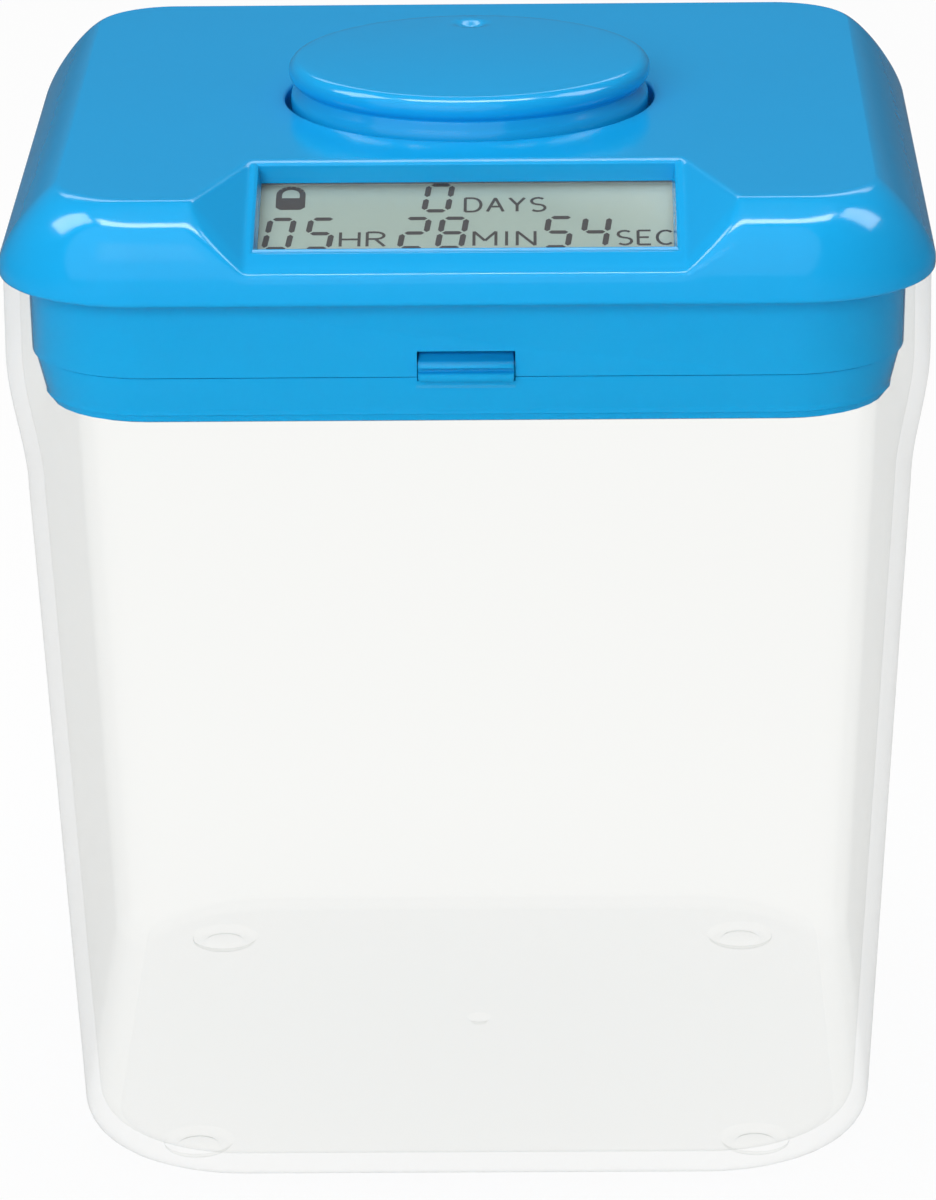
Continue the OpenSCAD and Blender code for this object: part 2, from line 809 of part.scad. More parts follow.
// Frame that centres the panel and keeps the rubber strips upright
module lcd_holder() {
  color("white") on_facet() difference() {
    block(
      [-stack_w / 2 + fit_gap, stack_y0 + fit_gap, display_board_z],
      [stack_w / 2 - fit_gap, stack_y1 - fit_gap, lcd_z]
    );
    block(
      [-stack_w / 2 + stack_wall, stack_y0 + stack_wall, strip_z],
      [stack_w / 2 - stack_wall, stack_y1 - stack_wall, lcd_z + over]
    );
    for (y = [stack_y0 + strip_inset, stack_y1 - strip_inset - strip_w])
      block(
        [-stack_w / 2 + strip_end, y, display_board_z - over],
        [stack_w / 2 - strip_end, y + strip_w, strip_z + over]
      );
    block(
      [-stack_w / 2 + strip_end, stack_y0 + strip_inset + 2 * strip_w, display_board_z - over],
      [stack_w / 2 - strip_end, stack_y1 - strip_inset - 2 * strip_w, strip_z + over]
    );
  }
}

module lcd_connectors() {
  color(DARK) on_facet() for (y = [stack_y0 + strip_inset, stack_y1 - strip_inset - strip_w])
    block(
      [-stack_w / 2 + strip_end + fit_gap, y + fit_gap, display_board_z],
      [stack_w / 2 - strip_end - fit_gap, y + strip_w - fit_gap, strip_z]
    );
}

module display_board() {
  color(GREEN) on_facet() difference() {
    union() {
      block(
        [-stack_w / 2 + fit_gap, stack_y0 + strip_inset - 0.5, display_board_z - display_board_t],
        [stack_w / 2 - fit_gap, stack_y1 - fit_gap, display_board_z]
      );
      block(
        [-display_screw_x - 2.4, display_screw_y - 3, display_board_z - display_board_t],
        [display_screw_x + 2.4, display_screw_y + 3, display_board_z]
      );
    }
    for (side = [-1, 1]) translate([side * display_screw_x, display_screw_y, 0])
      post(display_screw_r + 0.2, display_board_z - display_board_t - over, display_board_z + over);
  }
}

module display_screws() {
  color(STEEL) on_facet() for (side = [-1, 1])
    translate([side * display_screw_x, display_screw_y, 0])
      screw(display_board_z - display_board_t, display_screw_r, 1.7, 1, display_screw_l);
}

// Flat cable from the display board down to the control board
module display_ribbon() {
  z0 = top_z + (display_board_z - display_board_t) * cos(display_tilt) - 0.7;
  mid_z = (z0 + board_top_z) / 2;
  color("ivory") translate([-ribbon_w / 2, 0, 0]) rotate([90, 0, 90]) linear_extrude(ribbon_w)
    polygon([
      [ribbon_y, z0], [ribbon_y + ribbon_t, z0 + 0.1], [ribbon_y + ribbon_sag + ribbon_t, mid_z],
      [ribbon_y + ribbon_t, board_top_z], [ribbon_y, board_top_z], [ribbon_y + ribbon_sag, mid_z]
    ]);
}

// The dial: a hollow cap with a rounded rim, a groove under it and a long neck
module dial_knob() {
  rim_z1 = dial_top_z - dome_sag - rim_edge_r;
  groove_z = rim_z1 - rim_edge_r;
  flat_r = dial_r - rim_edge_r;
  color(BLUE) difference() {
    union() {
      rotate_extrude() difference() {
        polygon(concat(
          [[0, dial_skirt_z], [neck_r - 0.6, dial_skirt_z], [neck_r, dial_skirt_z + 0.6]],
          [[neck_r, groove_z - 2.4], [neck_r - 0.4, groove_z - 1.2], [groove_r, groove_z]],
          [for (a = [-60:15:75]) [flat_r + rim_edge_r * cos(a), rim_z1 + rim_edge_r * sin(a)]],
          [for (k = [0:4]) [flat_r * (1 - k / 4), dial_top_z - dome_sag * pow(1 - k / 4, 2)]]
        ));
        polygon([
          [-over, dial_skirt_z - over], [neck_r - dial_wall, dial_skirt_z - over],
          [neck_r - dial_wall, groove_z], [groove_r - dial_wall, groove_z + 1],
          [groove_r - dial_wall, dial_top_z - dome_sag - dial_wall], [-over, dial_top_z - dome_sag - dial_wall]
        ]);
      }
      post(hub_r, hub_z, dial_top_z - dome_sag - dial_wall / 2);
      // Ribs that tie the hub to the rim
      for (a = [0:60:300]) rotate(a)
        block([hub_r - 0.5, -0.8, hub_z + 1], [groove_r - dial_wall + 0.3, 0.8, dial_top_z - dome_sag - dial_wall / 2]);
    }
    post(shaft_r + 0.02, hub_z - over, shaft_top_z);
    translate([0, dimple_offset, dial_top_z + dimple_r * 1.5]) sphere(r = dimple_r * 1.8);
  }
}

module encoder_shaft() {
  color(STEEL) post(shaft_r, shaft_z, shaft_top_z - 0.1);
}

// Disc that the shaft presses down on the dome without turning
module encoder_slider() {
  color(DARK) difference() {
    post(slider_r, slider_z, slider_z + slider_t);
    for (side = [-1, 1]) block([side * slider_r - 0.5, -0.6, slider_z - over], [side * slider_r + 0.5, 0.6, shaft_z]);
  }
}

module encoder_body() {
  color(STEEL) difference() {
    union() {
      block([-encoder_w / 2, -encoder_w / 2, board_top_z], [encoder_w / 2, encoder_w / 2, encoder_top_z]);
      post(bush_r, encoder_top_z - fit_gap, bush_top_z);
    }
    post(encoder_cavity_r, board_top_z - over, encoder_top_z - 1.2);
    post(shaft_r + running_gap, board_top_z, bush_top_z + over);
  }
}

module push_dome() {
  color(STEEL) rotate_extrude() polygon([
    [0, board_top_z + dome_h - 0.3], [0, board_top_z + dome_h], [dome_r * 0.5, board_top_z + dome_h - 0.2],
    [dome_r, board_top_z + 0.3], [dome_r, board_top_z], [dome_r * 0.85, board_top_z]
  ]);
}

module control_board() {
  color(GREEN) difference() {
    block([-board_half, -board_half, board_z], [board_half, board_half, board_top_z]);
    at_corners(board_screw_at) post(screw_r + 0.2, board_z - over, board_top_z + over);
  }
}

// A chip or a socket on the board, by its middle and its width, depth and height
module on_board(x, y, size) {
  translate([x - size[0] / 2, y - size[1] / 2, board_top_z]) cube(size);
}

module board_chips() {
  color(DARK) {
    on_board(-board_half + 20, board_half - 27, controller_size);
    on_board(board_half - 25, board_half - 22, driver_size);
    on_board(-board_half + 18.5, -board_half + 34, clock_size);
    for (x = [board_half - 20, board_half - 14]) translate([x, -board_half + 30, 0])
      post(capacitor_r, board_top_z, board_top_z + capacitor_h);
  }
}

module board_connectors() {
  color("white") {
    on_board(motor_x, motor_y + 13.5, socket_size);
    on_board(-cell_x1, bay_half_l + 5.5, socket_size);
    on_board(0, ribbon_y - ribbon_socket_size[1] / 2, ribbon_socket_size);
  }
}

// Sensor under the board that sees where the cam wheel stands
module position_sensor() {
  color(DARK) translate([0, wheel_pitch_r - 5, 0])
    block([-sensor_w / 2, -sensor_w / 2, wheel_top_z + sensor_gap], [sensor_w / 2, sensor_w / 2, board_z]);
}

module lock_wheel() {
  color("white") difference() {
    translate([0, 0, wheel_z]) linear_extrude(wheel_t) difference() {
      gear_outline(wheel_teeth);
      cam_slot(-90);
      cam_slot(90);
    }
    post(axle_r + running_gap, wheel_z - over, wheel_top_z + over);
  }
}

module lock_axle() {
  color(STEEL) post(axle_r, floor_z, wheel_top_z + washer_t + 0.8);
}

module axle_washer() {
  color(STEEL) tube(axle_r + 2, axle_r + 0.02, wheel_top_z + 0.2, wheel_top_z + 0.2 + washer_t);
}

// A bolt that points towards -Y, with its follower pin
module bolt() {
  half = bolt_w / 2;
  color(BLUE) {
    difference() {
      translate([-half, 0, 0]) rotate([90, 0, 90]) linear_extrude(bolt_w) polygon([
        [-bolt_in, bolt_z], [-bolt_in, bolt_top_z],
        [-bolt_out + nose_bevel, bolt_top_z], [-bolt_out, bolt_top_z - nose_bevel],
        [-bolt_out, bolt_top_z - nose_groove_drop + nose_groove / 2],
        [-bolt_out + nose_groove, bolt_top_z - nose_groove_drop],
        [-bolt_out, bolt_top_z - nose_groove_drop - nose_groove / 2],
        [-bolt_out, bolt_z]
      ]);
      // Relief behind the nose keeps the wall even
      block([-half + 2.4, -bolt_out + 14, bolt_z + 1.6], [half - 2.4, -bolt_in - 9, bolt_top_z + over]);
    }
    translate([0, -cam_r, 0]) post(follower_r, bolt_top_z - fit_gap, wheel_top_z - 0.2);
  }
}

module bolt_front() {
  bolt();
}

module bolt_rear() {
  rotate(180) bolt();
}

module idler_gear() {
  // The small gear shows a gap to the tooth that the wheel holds on the X axis
  color("white") translate([idler_x, 0, 0]) difference() {
    union() {
      translate([0, 0, wheel_z]) linear_extrude(large_z - wheel_z + fit_gap)
        rotate(180 + 180 / small_teeth) gear_outline(small_teeth);
      translate([0, 0, large_z]) linear_extrude(large_t)
        rotate(motor_angle) gear_outline(large_teeth);
    }
    post(idler_axle_r + running_gap, wheel_z - over, large_z + large_t + over);
  }
}

module idler_axle() {
  color(STEEL) translate([idler_x, 0, 0]) post(idler_axle_r, floor_z, idler_axle_top_z);
}

module motor() {
  color(STEEL) translate([motor_x, motor_y, 0]) difference() {
    intersection() {
      post(motor_d / 2, motor_z, motor_top_z);
      block([-motor_d, -motor_flat / 2, 0], [motor_d, motor_flat / 2, top_z]);
    }
    post(motor_shaft_r + running_gap, motor_z + 2, motor_top_z + over);
  }
}

// Strap that ties the motor to its cradle
module motor_clamp() {
  color(DARK) translate([motor_x, motor_y, 0])
    tube(motor_d / 2 + 1.4, motor_d / 2 + fit_gap / 2, floor_z + 4.1, floor_z + 7.6);
}

module motor_shaft() {
  color(STEEL) translate([motor_x, motor_y, 0]) post(motor_shaft_r, motor_z + 2.1, large_z + large_t);
}

module motor_pinion() {
  color("white") translate([motor_x, motor_y, 0]) difference() {
    translate([0, 0, large_z - 0.1]) linear_extrude(large_t + 0.2)
      rotate(motor_angle + 180 + 180 / pinion_teeth) gear_outline(pinion_teeth);
    post(motor_shaft_r + 0.01, large_z - over, large_z + large_t + over);
  }
}

module battery_door() {
  length = 2 * door_half_l;
  color(BLUE) difference() {
    union() {
      block([-hinge_x, -door_half_l, underside_z], [-door_inner_x, door_half_l, underside_z + door_t]);
      translate([-hinge_x, 0, hinge_z]) rotate([90, 0, 0]) cylinder(r = barrel_r, h = length, center = true);
    }
    translate([-hinge_x, 0, hinge_z]) rotate([90, 0, 0])
      cylinder(r = hinge_pin_r + running_gap, h = length + 2 * over, center = true);
    // Finger notch at the free edge
    translate([-door_inner_x, 0, underside_z - 2]) sphere(r = 3.4);
  }
}

module door_hinge_pin() {
  color(STEEL) translate([-hinge_x, 0, hinge_z]) rotate([90, 0, 0])
    cylinder(r = hinge_pin_r, h = 2 * (door_half_l + door_gap + 1.8), center = true);
}

// A cell along Y; end says which way its nub points
module cell(x, end) {
  translate([-x, 0, cell_z]) rotate([-90 * end, 0, 0]) {
    translate([0, 0, -cell_l / 2]) cylinder(r = cell_d / 2, h = cell_l);
    translate([0, 0, cell_l / 2 - fit_gap]) cylinder(r = nub_r, h = nub_l + fit_gap);
  }
}

module battery_inner() {
  color(DARK) cell(cell_x1, 1);
}

module battery_outer() {
  color(DARK) cell(cell_x2, -1);
}

// Places a contact at the end of a cell, its Z pointing at the cell
module at_contact(x, end) {
  translate([-x, end * (bay_half_l - 0.1), cell_z]) rotate([90 * end, 0, 0]) children();
}

module battery_springs() {
  length = bay_half_l - 0.1 - 0.4 - cell_l / 2;
  color(STEEL) for (one = [[cell_x1, -1], [cell_x2, 1]]) at_contact(one[0], one[1])
    translate([0, 0, 0.4]) difference() {
      cylinder(r1 = 4.6, r2 = 3, h = length);
      translate([0, 0, -over / 10]) cylinder(r1 = 3.8, r2 = 2.2, h = length + over / 5);
    }
}

module battery_plates() {
  color(STEEL) for (x = [cell_x1, cell_x2], end = [-1, 1]) at_contact(x, end)
    block([-5, -6, 0], [5, 6, x == cell_x1 && end > 0 || x == cell_x2 && end < 0 ? 1.4 : 0.4]);
}

module battery_leads() {
  color("firebrick") for (x = [cell_x1 - 2, cell_x1 + 2])
    wire(-x, [
      [bay_half_l - 0.8, cell_z + 7], [bay_half_l - 0.8, bay_top_z + 0.8],
      [bay_half_l + 0.4, bay_top_z + 1.4], [bay_half_l + 3, bay_top_z + 1.4],
      [bay_half_l + 3.8, board_z - 0.8], [bay_half_l + 3.8, board_z]
    ]);
}

module motor_leads() {
  color("firebrick") for (side = [-1, 1])
    wire(motor_x + side, [
      [motor_y + motor_flat / 2, motor_z + 1.4], [motor_y + motor_flat / 2 + 3, motor_z + 1.4],
      [motor_y + 12, motor_z + 4], [motor_y + 13, motor_top_z - 4], [motor_y + 13, board_z]
    ]);
}

module cover_screws() {
  color(STEEL) at_corners(post_at)
    screw(underside_z + screw_head_h + 0.6, screw_r, screw_head_r, screw_head_h, 14);
}

module board_screws() {
  color(STEEL) at_corners(board_screw_at)
    screw(board_z, screw_r, screw_head_r, screw_head_h, board_t + board_screw_l - 1);
}

container();
lid_top_cover();
lid_skirt();
lid_bottom_cover();
display_window();
lcd_panel();
lcd_holder();
lcd_connectors();
display_board();
display_screws();
display_ribbon();
dial_knob();
encoder_shaft();
encoder_slider();
encoder_body();
push_dome();
control_board();
board_chips();
board_connectors();
position_sensor();
lock_wheel();
lock_axle();
axle_washer();
bolt_front();
bolt_rear();
idler_gear();
idler_axle();
motor();
motor_clamp();
motor_shaft();
motor_pinion();
battery_door();
door_hinge_pin();
battery_inner();
battery_outer();
battery_springs();
battery_plates();
battery_leads();
motor_leads();
cover_screws();
board_screws();
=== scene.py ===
# %% [markdown]
# # A timed lock container, dressed for its picture
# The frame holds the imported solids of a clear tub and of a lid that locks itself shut.
# This lesson builds the surfaces that show as smooth meshes over those solids, and gives
# the solids that stay a finish. We load the frame first, and note how big it is.

# %% Load the frame
import math

import bmesh
import bpy
import numpy as np
from mathutils import Matrix, Vector


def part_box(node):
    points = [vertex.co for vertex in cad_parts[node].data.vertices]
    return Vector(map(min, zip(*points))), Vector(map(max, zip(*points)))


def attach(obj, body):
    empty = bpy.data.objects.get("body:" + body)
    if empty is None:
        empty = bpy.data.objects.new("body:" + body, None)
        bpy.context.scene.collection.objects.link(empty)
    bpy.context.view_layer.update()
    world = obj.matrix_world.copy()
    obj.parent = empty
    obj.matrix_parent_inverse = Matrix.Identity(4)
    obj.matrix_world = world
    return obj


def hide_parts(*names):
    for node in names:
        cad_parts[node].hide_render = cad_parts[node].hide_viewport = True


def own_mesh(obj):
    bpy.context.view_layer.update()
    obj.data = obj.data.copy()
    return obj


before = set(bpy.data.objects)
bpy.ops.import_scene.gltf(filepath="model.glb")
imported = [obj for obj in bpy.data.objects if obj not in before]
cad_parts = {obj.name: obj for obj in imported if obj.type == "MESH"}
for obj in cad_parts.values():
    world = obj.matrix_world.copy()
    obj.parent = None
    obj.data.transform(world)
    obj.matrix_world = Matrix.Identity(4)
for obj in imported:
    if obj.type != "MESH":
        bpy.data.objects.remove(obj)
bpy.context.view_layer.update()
MM = 0.001
print("solids in the frame:", len(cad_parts))

# %% [markdown]
# ## The camera
# A camera can be aimed by eye, but a photograph fixes it better: the tilt of the tub's walls
# gives its height, and how fast they close in gives its distance. The product was shot from
# just over one metre with a long lens, a little above the lid and almost straight on.

# %% Camera
CAMERA_TARGET = Vector((-1.21, 0.0, 82.16)) * MM
CAMERA_DISTANCE = 1150.5 * MM
CAMERA_AZIMUTH = math.radians(0.89)
CAMERA_ELEVATION = math.radians(18.49)
CAMERA_ROLL = math.radians(-0.62)
CAMERA_LENS = 198.5


def aim_camera():
    back = Vector((
        math.sin(CAMERA_AZIMUTH) * math.cos(CAMERA_ELEVATION),
        -math.cos(CAMERA_AZIMUTH) * math.cos(CAMERA_ELEVATION),
        math.sin(CAMERA_ELEVATION),
    ))
    right = Vector((math.cos(CAMERA_AZIMUTH), math.sin(CAMERA_AZIMUTH), 0.0))
    up = back.cross(right)
    turned_right = right * math.cos(CAMERA_ROLL) + up * math.sin(CAMERA_ROLL)
    turned_up = up * math.cos(CAMERA_ROLL) - right * math.sin(CAMERA_ROLL)
    data = bpy.data.cameras.new("camera")
    data.lens = CAMERA_LENS
    data.sensor_width = 36.0
    data.clip_start = 0.05
    camera = bpy.data.objects.new("camera", data)
    rotation = Matrix((turned_right, turned_up, back)).transposed().to_4x4()
    camera.matrix_world = Matrix.Translation(CAMERA_TARGET + back * CAMERA_DISTANCE) @ rotation
    bpy.context.scene.collection.objects.link(camera)
    bpy.context.scene.camera = camera
    return camera


camera = aim_camera()
print("camera stands at", [round(v, 3) for v in camera.matrix_world.translation])

# %% [markdown]
# ## Shader maths as Python
# A material's maths can be wired node by node, but the wiring hides the idea. A small class
# that wraps a socket lets an expression such as 1 - mask build its own Math nodes. Colours
# and vectors have their own nodes, because a Math node would turn a colour grey.


# %% The socket class and the material sheet
class Value:
    """A number that changes over a surface: arithmetic on it adds Math nodes."""

    def __init__(self, sheet, socket):
        self.sheet = sheet
        self.socket = socket

    def _math(self, operation, first, second=0.0):
        return self.sheet.add("ShaderNodeMath", {"operation": operation}, {0: first, 1: second})

    def __add__(self, other):
        return self._math("ADD", self, other)

    def __radd__(self, other):
        return self._math("ADD", other, self)

    def __sub__(self, other):
        return self._math("SUBTRACT", self, other)

    def __rsub__(self, other):
        return self._math("SUBTRACT", other, self)

    def __mul__(self, other):
        return self._math("MULTIPLY", self, other)

    def __rmul__(self, other):
        return self._math("MULTIPLY", other, self)

    def __pow__(self, other):
        return self._math("POWER", self, other)

    def __gt__(self, other):
        return self._math("GREATER_THAN", self, other)

    def __lt__(self, other):
        return self._math("LESS_THAN", self, other)

    def high(self, other):
        return self._math("MAXIMUM", self, other)


class Sheet:
    """A material's or world's node tree, with one method that adds any node."""

    def __init__(self, owner):
        self.owner = owner
        self.owner.use_nodes = True
        self.tree = owner.node_tree
        self.tree.nodes.clear()
        self.made = None

    def add(self, kind, settings=None, inputs=None, output=0):
        """Adds a node: its settings first, then its sockets' values and links."""
        node = self.tree.nodes.new(kind)
        for name, value in (settings or {}).items():
            setattr(node, name, value)
        for key, value in (inputs or {}).items():
            socket = node.inputs[key]
            if isinstance(value, Value):
                self.tree.links.new(value.socket, socket)
            else:
                socket.default_value = value
        self.made = node
        return Value(self, node.outputs[output]) if len(node.outputs) else None

    def noise(self, where, scale, detail=3.0, roughness=0.5):
        return self.add("ShaderNodeTexNoise", {"noise_dimensions": "3D"}, {
            "Vector": where, "Scale": scale, "Detail": detail, "Roughness": roughness})

    def place(self):
        """The point on the surface, in metres, in the object's own frame."""
        return self.add("ShaderNodeTexCoord", output=3)

    def split(self, where):
        self.add("ShaderNodeSeparateXYZ", inputs={0: where})
        return [Value(self, out) for out in self.made.outputs]

    def mix(self, factor, first, second):
        """Mixes two colours by a number."""
        self.add("ShaderNodeMix", {"data_type": "RGBA"}, {0: factor, 6: first, 7: second})
        return Value(self, self.made.outputs[2])

    def spread(self, value, low, high, to_low, to_high):
        """Moves a number from one range to another, and holds it there."""
        return self.add("ShaderNodeMapRange", {"clamp": True}, {
            0: value, 1: low, 2: high, 3: to_low, 4: to_high})

    def bump(self, height, strength, distance):
        return self.add("ShaderNodeBump", {}, {
            "Height": height, "Strength": strength, "Distance": distance})

    def light_path(self):
        """Which ray this is: one that sees, straight or through glass, or a glossy one."""
        self.add("ShaderNodeLightPath")
        camera, clear, glossy = (
            Value(self, self.made.outputs[f"Is {kind} Ray"])
            for kind in ("Camera", "Transmission", "Glossy"))
        return camera.high(clear), glossy

    def finish(self, sockets):
        """Ends the material in a Principled shader; constants go on its own sockets."""
        return self.end(self.add("ShaderNodeBsdfPrincipled", {}, sockets))

    def end(self, shader):
        self.add("ShaderNodeOutputMaterial", {}, {"Surface": shader})
        return self.owner


def new_sheet(name):
    """A sheet for a fresh material."""
    return Sheet(bpy.data.materials.new(name))


def colour(red, green, blue):
    """A colour as a screen shows it, from 0 to 255, turned into linear light."""
    def linear(v):
        v = v / 255
        return v / 12.92 if v <= 0.04045 else ((v + 0.055) / 1.055) ** 2.4
    return (linear(red), linear(green), linear(blue), 1.0)


print("material sheet ready")

# %% [markdown]
# ## Moulded plastic
# The lid is glossy moulded plastic. One flat colour would look like a drawing: a real
# moulding has a faint flow pattern, fine handling marks in its gloss and a slight ripple,
# so we add a cloudy tone, a roughness that wanders and a very low bump.


# %% Plastics
def moulded_plastic(name, base, rough, tone=0.06, specular=0.5, ripple=0.1, grain=0.0):
    sheet = new_sheet(name)
    where = sheet.place()
    flow = sheet.noise(where, 18.0, 4.0, 0.55)
    darker = tuple(v * (1 - tone) for v in base[:3]) + (1.0,)
    lighter = tuple(min(1.0, v * (1 + tone)) for v in base[:3]) + (1.0,)
    skin = sheet.mix(flow, darker, lighter)
    marks = sheet.noise(where, 260.0, 3.0, 0.6)
    gloss = sheet.spread(marks, 0.3, 0.75, rough * 0.88, rough * 1.14)
    waves = sheet.noise(where, 24.0, 0.0, 0.4)
    if grain:
        waves = waves + sheet.noise(where, 3200.0, 2.0, 0.5) * grain
    normal = sheet.bump(waves, ripple, 0.0004)
    return sheet.finish({
        "Base Color": skin, "Roughness": gloss, "Normal": normal, "IOR": 1.46,
        "Specular IOR Level": specular})


LID_BLUE = colour(18, 163, 226)
lid_plastic = moulded_plastic("lid_plastic", LID_BLUE, 0.14, tone=0.02, specular=0.42)
white_nylon = moulded_plastic("white_nylon", colour(228, 226, 216), 0.45, tone=0.04)
black_plastic = moulded_plastic("black_plastic", colour(34, 34, 36), 0.5, tone=0.1, grain=0.4)
rubber = moulded_plastic("rubber", colour(52, 50, 50), 0.75, tone=0.1, grain=0.8)
wire_red = moulded_plastic("wire_red", colour(176, 32, 28), 0.4, tone=0.05)
print("plastics:", lid_plastic.name, white_nylon.name, black_plastic.name, rubber.name)

# %% [markdown]
# The tub is water-clear plastic on white, so almost nothing of it shows but its edges.
# Glass that bends light would be the obvious choice, but it fills the tub with dark
# doubled images that a product shot avoids. We let the light straight through with a
# faint tint, and mix in a pale skin where the wall is seen edge on: that is where a real
# wall is thickest along the line of sight. The faces that look inwards get a fainter skin,
# or each wall would be drawn as two lines.


# %% Clear plastics
def clear_plastic(name, tint, skin_tone, share, power):
    sheet = new_sheet(name)
    where = sheet.place()
    waves = sheet.noise(where, 14.0, 1.0, 0.3)
    bent = sheet.bump(waves, 0.05, 0.0006)
    marks = sheet.noise(where, 90.0, 4.0, 0.6)
    skin = sheet.add("ShaderNodeBsdfPrincipled", {}, {
        "Base Color": skin_tone, "Roughness": sheet.spread(marks, 0.3, 0.7, 0.07, 0.16),
        "Normal": bent})
    through = sheet.add("ShaderNodeBsdfTransparent", {}, {"Color": tint})
    facing = sheet.add("ShaderNodeLayerWeight", {}, {"Blend": 0.5}, output=1)
    edge = facing ** power * share
    mixed = sheet.add("ShaderNodeMixShader", {}, {0: edge, 1: through, 2: skin})
    return sheet.end(mixed)


TUB_TINT = (0.986, 0.987, 0.982, 1.0)
TUB_SKIN = (0.93, 0.935, 0.92, 1.0)
clear_tub = clear_plastic("clear_tub", TUB_TINT, TUB_SKIN, 0.27, 4.0)
clear_inside = clear_plastic("clear_inside", TUB_TINT, TUB_SKIN, 0.08, 4.0)
clear_window = clear_plastic(
    "clear_window", (0.97, 0.975, 0.972, 1.0), (0.5, 0.5, 0.5, 1.0), 0.3, 2.0)
print("clear plastics:", clear_tub.name, clear_inside.name, clear_window.name)

# %% [markdown]
# ## Metal, boards and cells
# These sit inside the lid and show when it is taken apart. Drawn steel has fine scratches,
# a circuit board has tracks under its lacquer, and a cell wears a printed sleeve in two
# tones. Each is a few textures on the same shader.


# %% Metal, board and cell finishes
def drawn_steel(name, tone, rough):
    sheet = new_sheet(name)
    where = sheet.place()
    stretched = sheet.add("ShaderNodeMapping", {}, {
        "Vector": where, "Scale": (900.0, 900.0, 40.0)})
    scratches = sheet.noise(stretched, 1.0, 4.0, 0.6)
    gloss = sheet.spread(scratches, 0.3, 0.7, rough * 0.7, rough * 1.4)
    skin = sheet.mix(scratches, tone, tuple(v * 0.86 for v in tone[:3]) + (1.0,))
    return sheet.finish({
        "Base Color": skin, "Roughness": gloss, "Metallic": 1.0,
        "Normal": sheet.bump(scratches, 0.1, 0.0001)})


def circuit_board(name):
    """Green lacquer, with tracks that run along a square grid of cells."""
    sheet = new_sheet(name)
    where = sheet.place()
    cells = sheet.add("ShaderNodeTexVoronoi", {"distance": "CHEBYCHEV"}, {
        "Vector": where, "Scale": 180.0})
    tracks = (cells > 0.3) * (cells < 0.42)
    lacquer = colour(18, 96, 58)
    skin = sheet.mix(tracks, lacquer, colour(46, 132, 78))
    return sheet.finish({
        "Base Color": skin, "Roughness": 0.35, "Normal": sheet.bump(tracks, 0.3, 0.0001)})


def cell_sleeve(name, half_length):
    """A cell lies along Y: a dark sleeve, a warm band at one end and bare metal caps."""
    sheet = new_sheet(name)
    where = sheet.place()
    along = sheet.split(where)[1]
    far = along.high(along * -1.0)
    band = along > half_length * 0.45
    sleeve = sheet.mix(band, colour(30, 31, 34), colour(176, 120, 62))
    cap = far > half_length - 0.6 * MM
    skin = sheet.mix(cap, sleeve, colour(196, 194, 188))
    return sheet.finish({"Base Color": skin, "Roughness": 0.32, "Metallic": cap})


steel = drawn_steel("steel", (0.62, 0.62, 0.61, 1.0), 0.3)
board_green = circuit_board("board_green")
CELL_HALF = 24.6 * MM
cell_skin = cell_sleeve("cell_skin", CELL_HALF)
print("inner finishes:", steel.name, board_green.name, cell_skin.name)

# %% [markdown]
# ## Dress the solids that stay
# Most inner solids already have the right shape, but their round parts are cut into flat
# faces. Shading the mesh smooth would change it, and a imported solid's mesh isn't touched.
# So each gets a modifier: it welds the points and smooths the shading up to a limit angle.


# %% Smooth shading by angle, as a modifier
def smooth_group(angle):
    group = bpy.data.node_groups.new("smooth_by_angle", "GeometryNodeTree")
    group.interface.new_socket("Geometry", in_out="INPUT", socket_type="NodeSocketGeometry")
    group.interface.new_socket("Geometry", in_out="OUTPUT", socket_type="NodeSocketGeometry")
    nodes, links = group.nodes, group.links
    start = nodes.new("NodeGroupInput")
    end = nodes.new("NodeGroupOutput")
    weld = nodes.new("GeometryNodeMergeByDistance")
    weld.inputs["Distance"].default_value = 1e-6
    drop = nodes.new("GeometryNodeRemoveAttribute")
    drop.inputs["Name"].default_value = "custom_normal"
    faces = nodes.new("GeometryNodeSetShadeSmooth")
    faces.domain = "FACE"
    edges = nodes.new("GeometryNodeSetShadeSmooth")
    edges.domain = "EDGE"
    bend = nodes.new("GeometryNodeInputMeshEdgeAngle")
    flat = nodes.new("FunctionNodeCompare")
    flat.data_type = "FLOAT"
    flat.operation = "LESS_THAN"
    flat.inputs[1].default_value = angle
    links.new(start.outputs[0], weld.inputs[0])
    links.new(weld.outputs[0], drop.inputs[0])
    links.new(drop.outputs[0], faces.inputs["Geometry"])
    links.new(faces.outputs[0], edges.inputs["Geometry"])
    links.new(bend.outputs["Unsigned Angle"], flat.inputs[0])
    links.new(flat.outputs[0], edges.inputs["Shade Smooth"])
    links.new(edges.outputs[0], end.inputs[0])
    return group


SMOOTH = smooth_group(math.radians(32))


def ease(obj):
    """Smooth shading up to the limit angle."""
    shade = obj.modifiers.new("smooth", "NODES")
    shade.node_group = SMOOTH
    return obj


FINISHES = (
    (lid_plastic, "lid_bottom_cover battery_door"),
    (white_nylon, "lcd_holder display_ribbon board_connectors lock_wheel idler_gear motor_pinion"),
    (rubber, "lcd_connectors"),
    (board_green, "display_board control_board"),
    (black_plastic, "encoder_slider board_chips position_sensor motor_clamp"),
    (steel, "display_screws encoder_shaft encoder_body lock_axle axle_washer idler_axle motor"),
    (steel, "motor_shaft door_hinge_pin battery_springs battery_plates cover_screws board_screws"),
    (cell_skin, "battery_inner battery_outer"),
    (wire_red, "battery_leads motor_leads"),
)


def dress(node, material):
    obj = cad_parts[node]
    for slot in obj.material_slots:
        slot.material = material
    return ease(obj)


dressed = [dress(node, material) for material, nodes in FINISHES for node in nodes.split()]
print("dressed solids:", len(dressed))

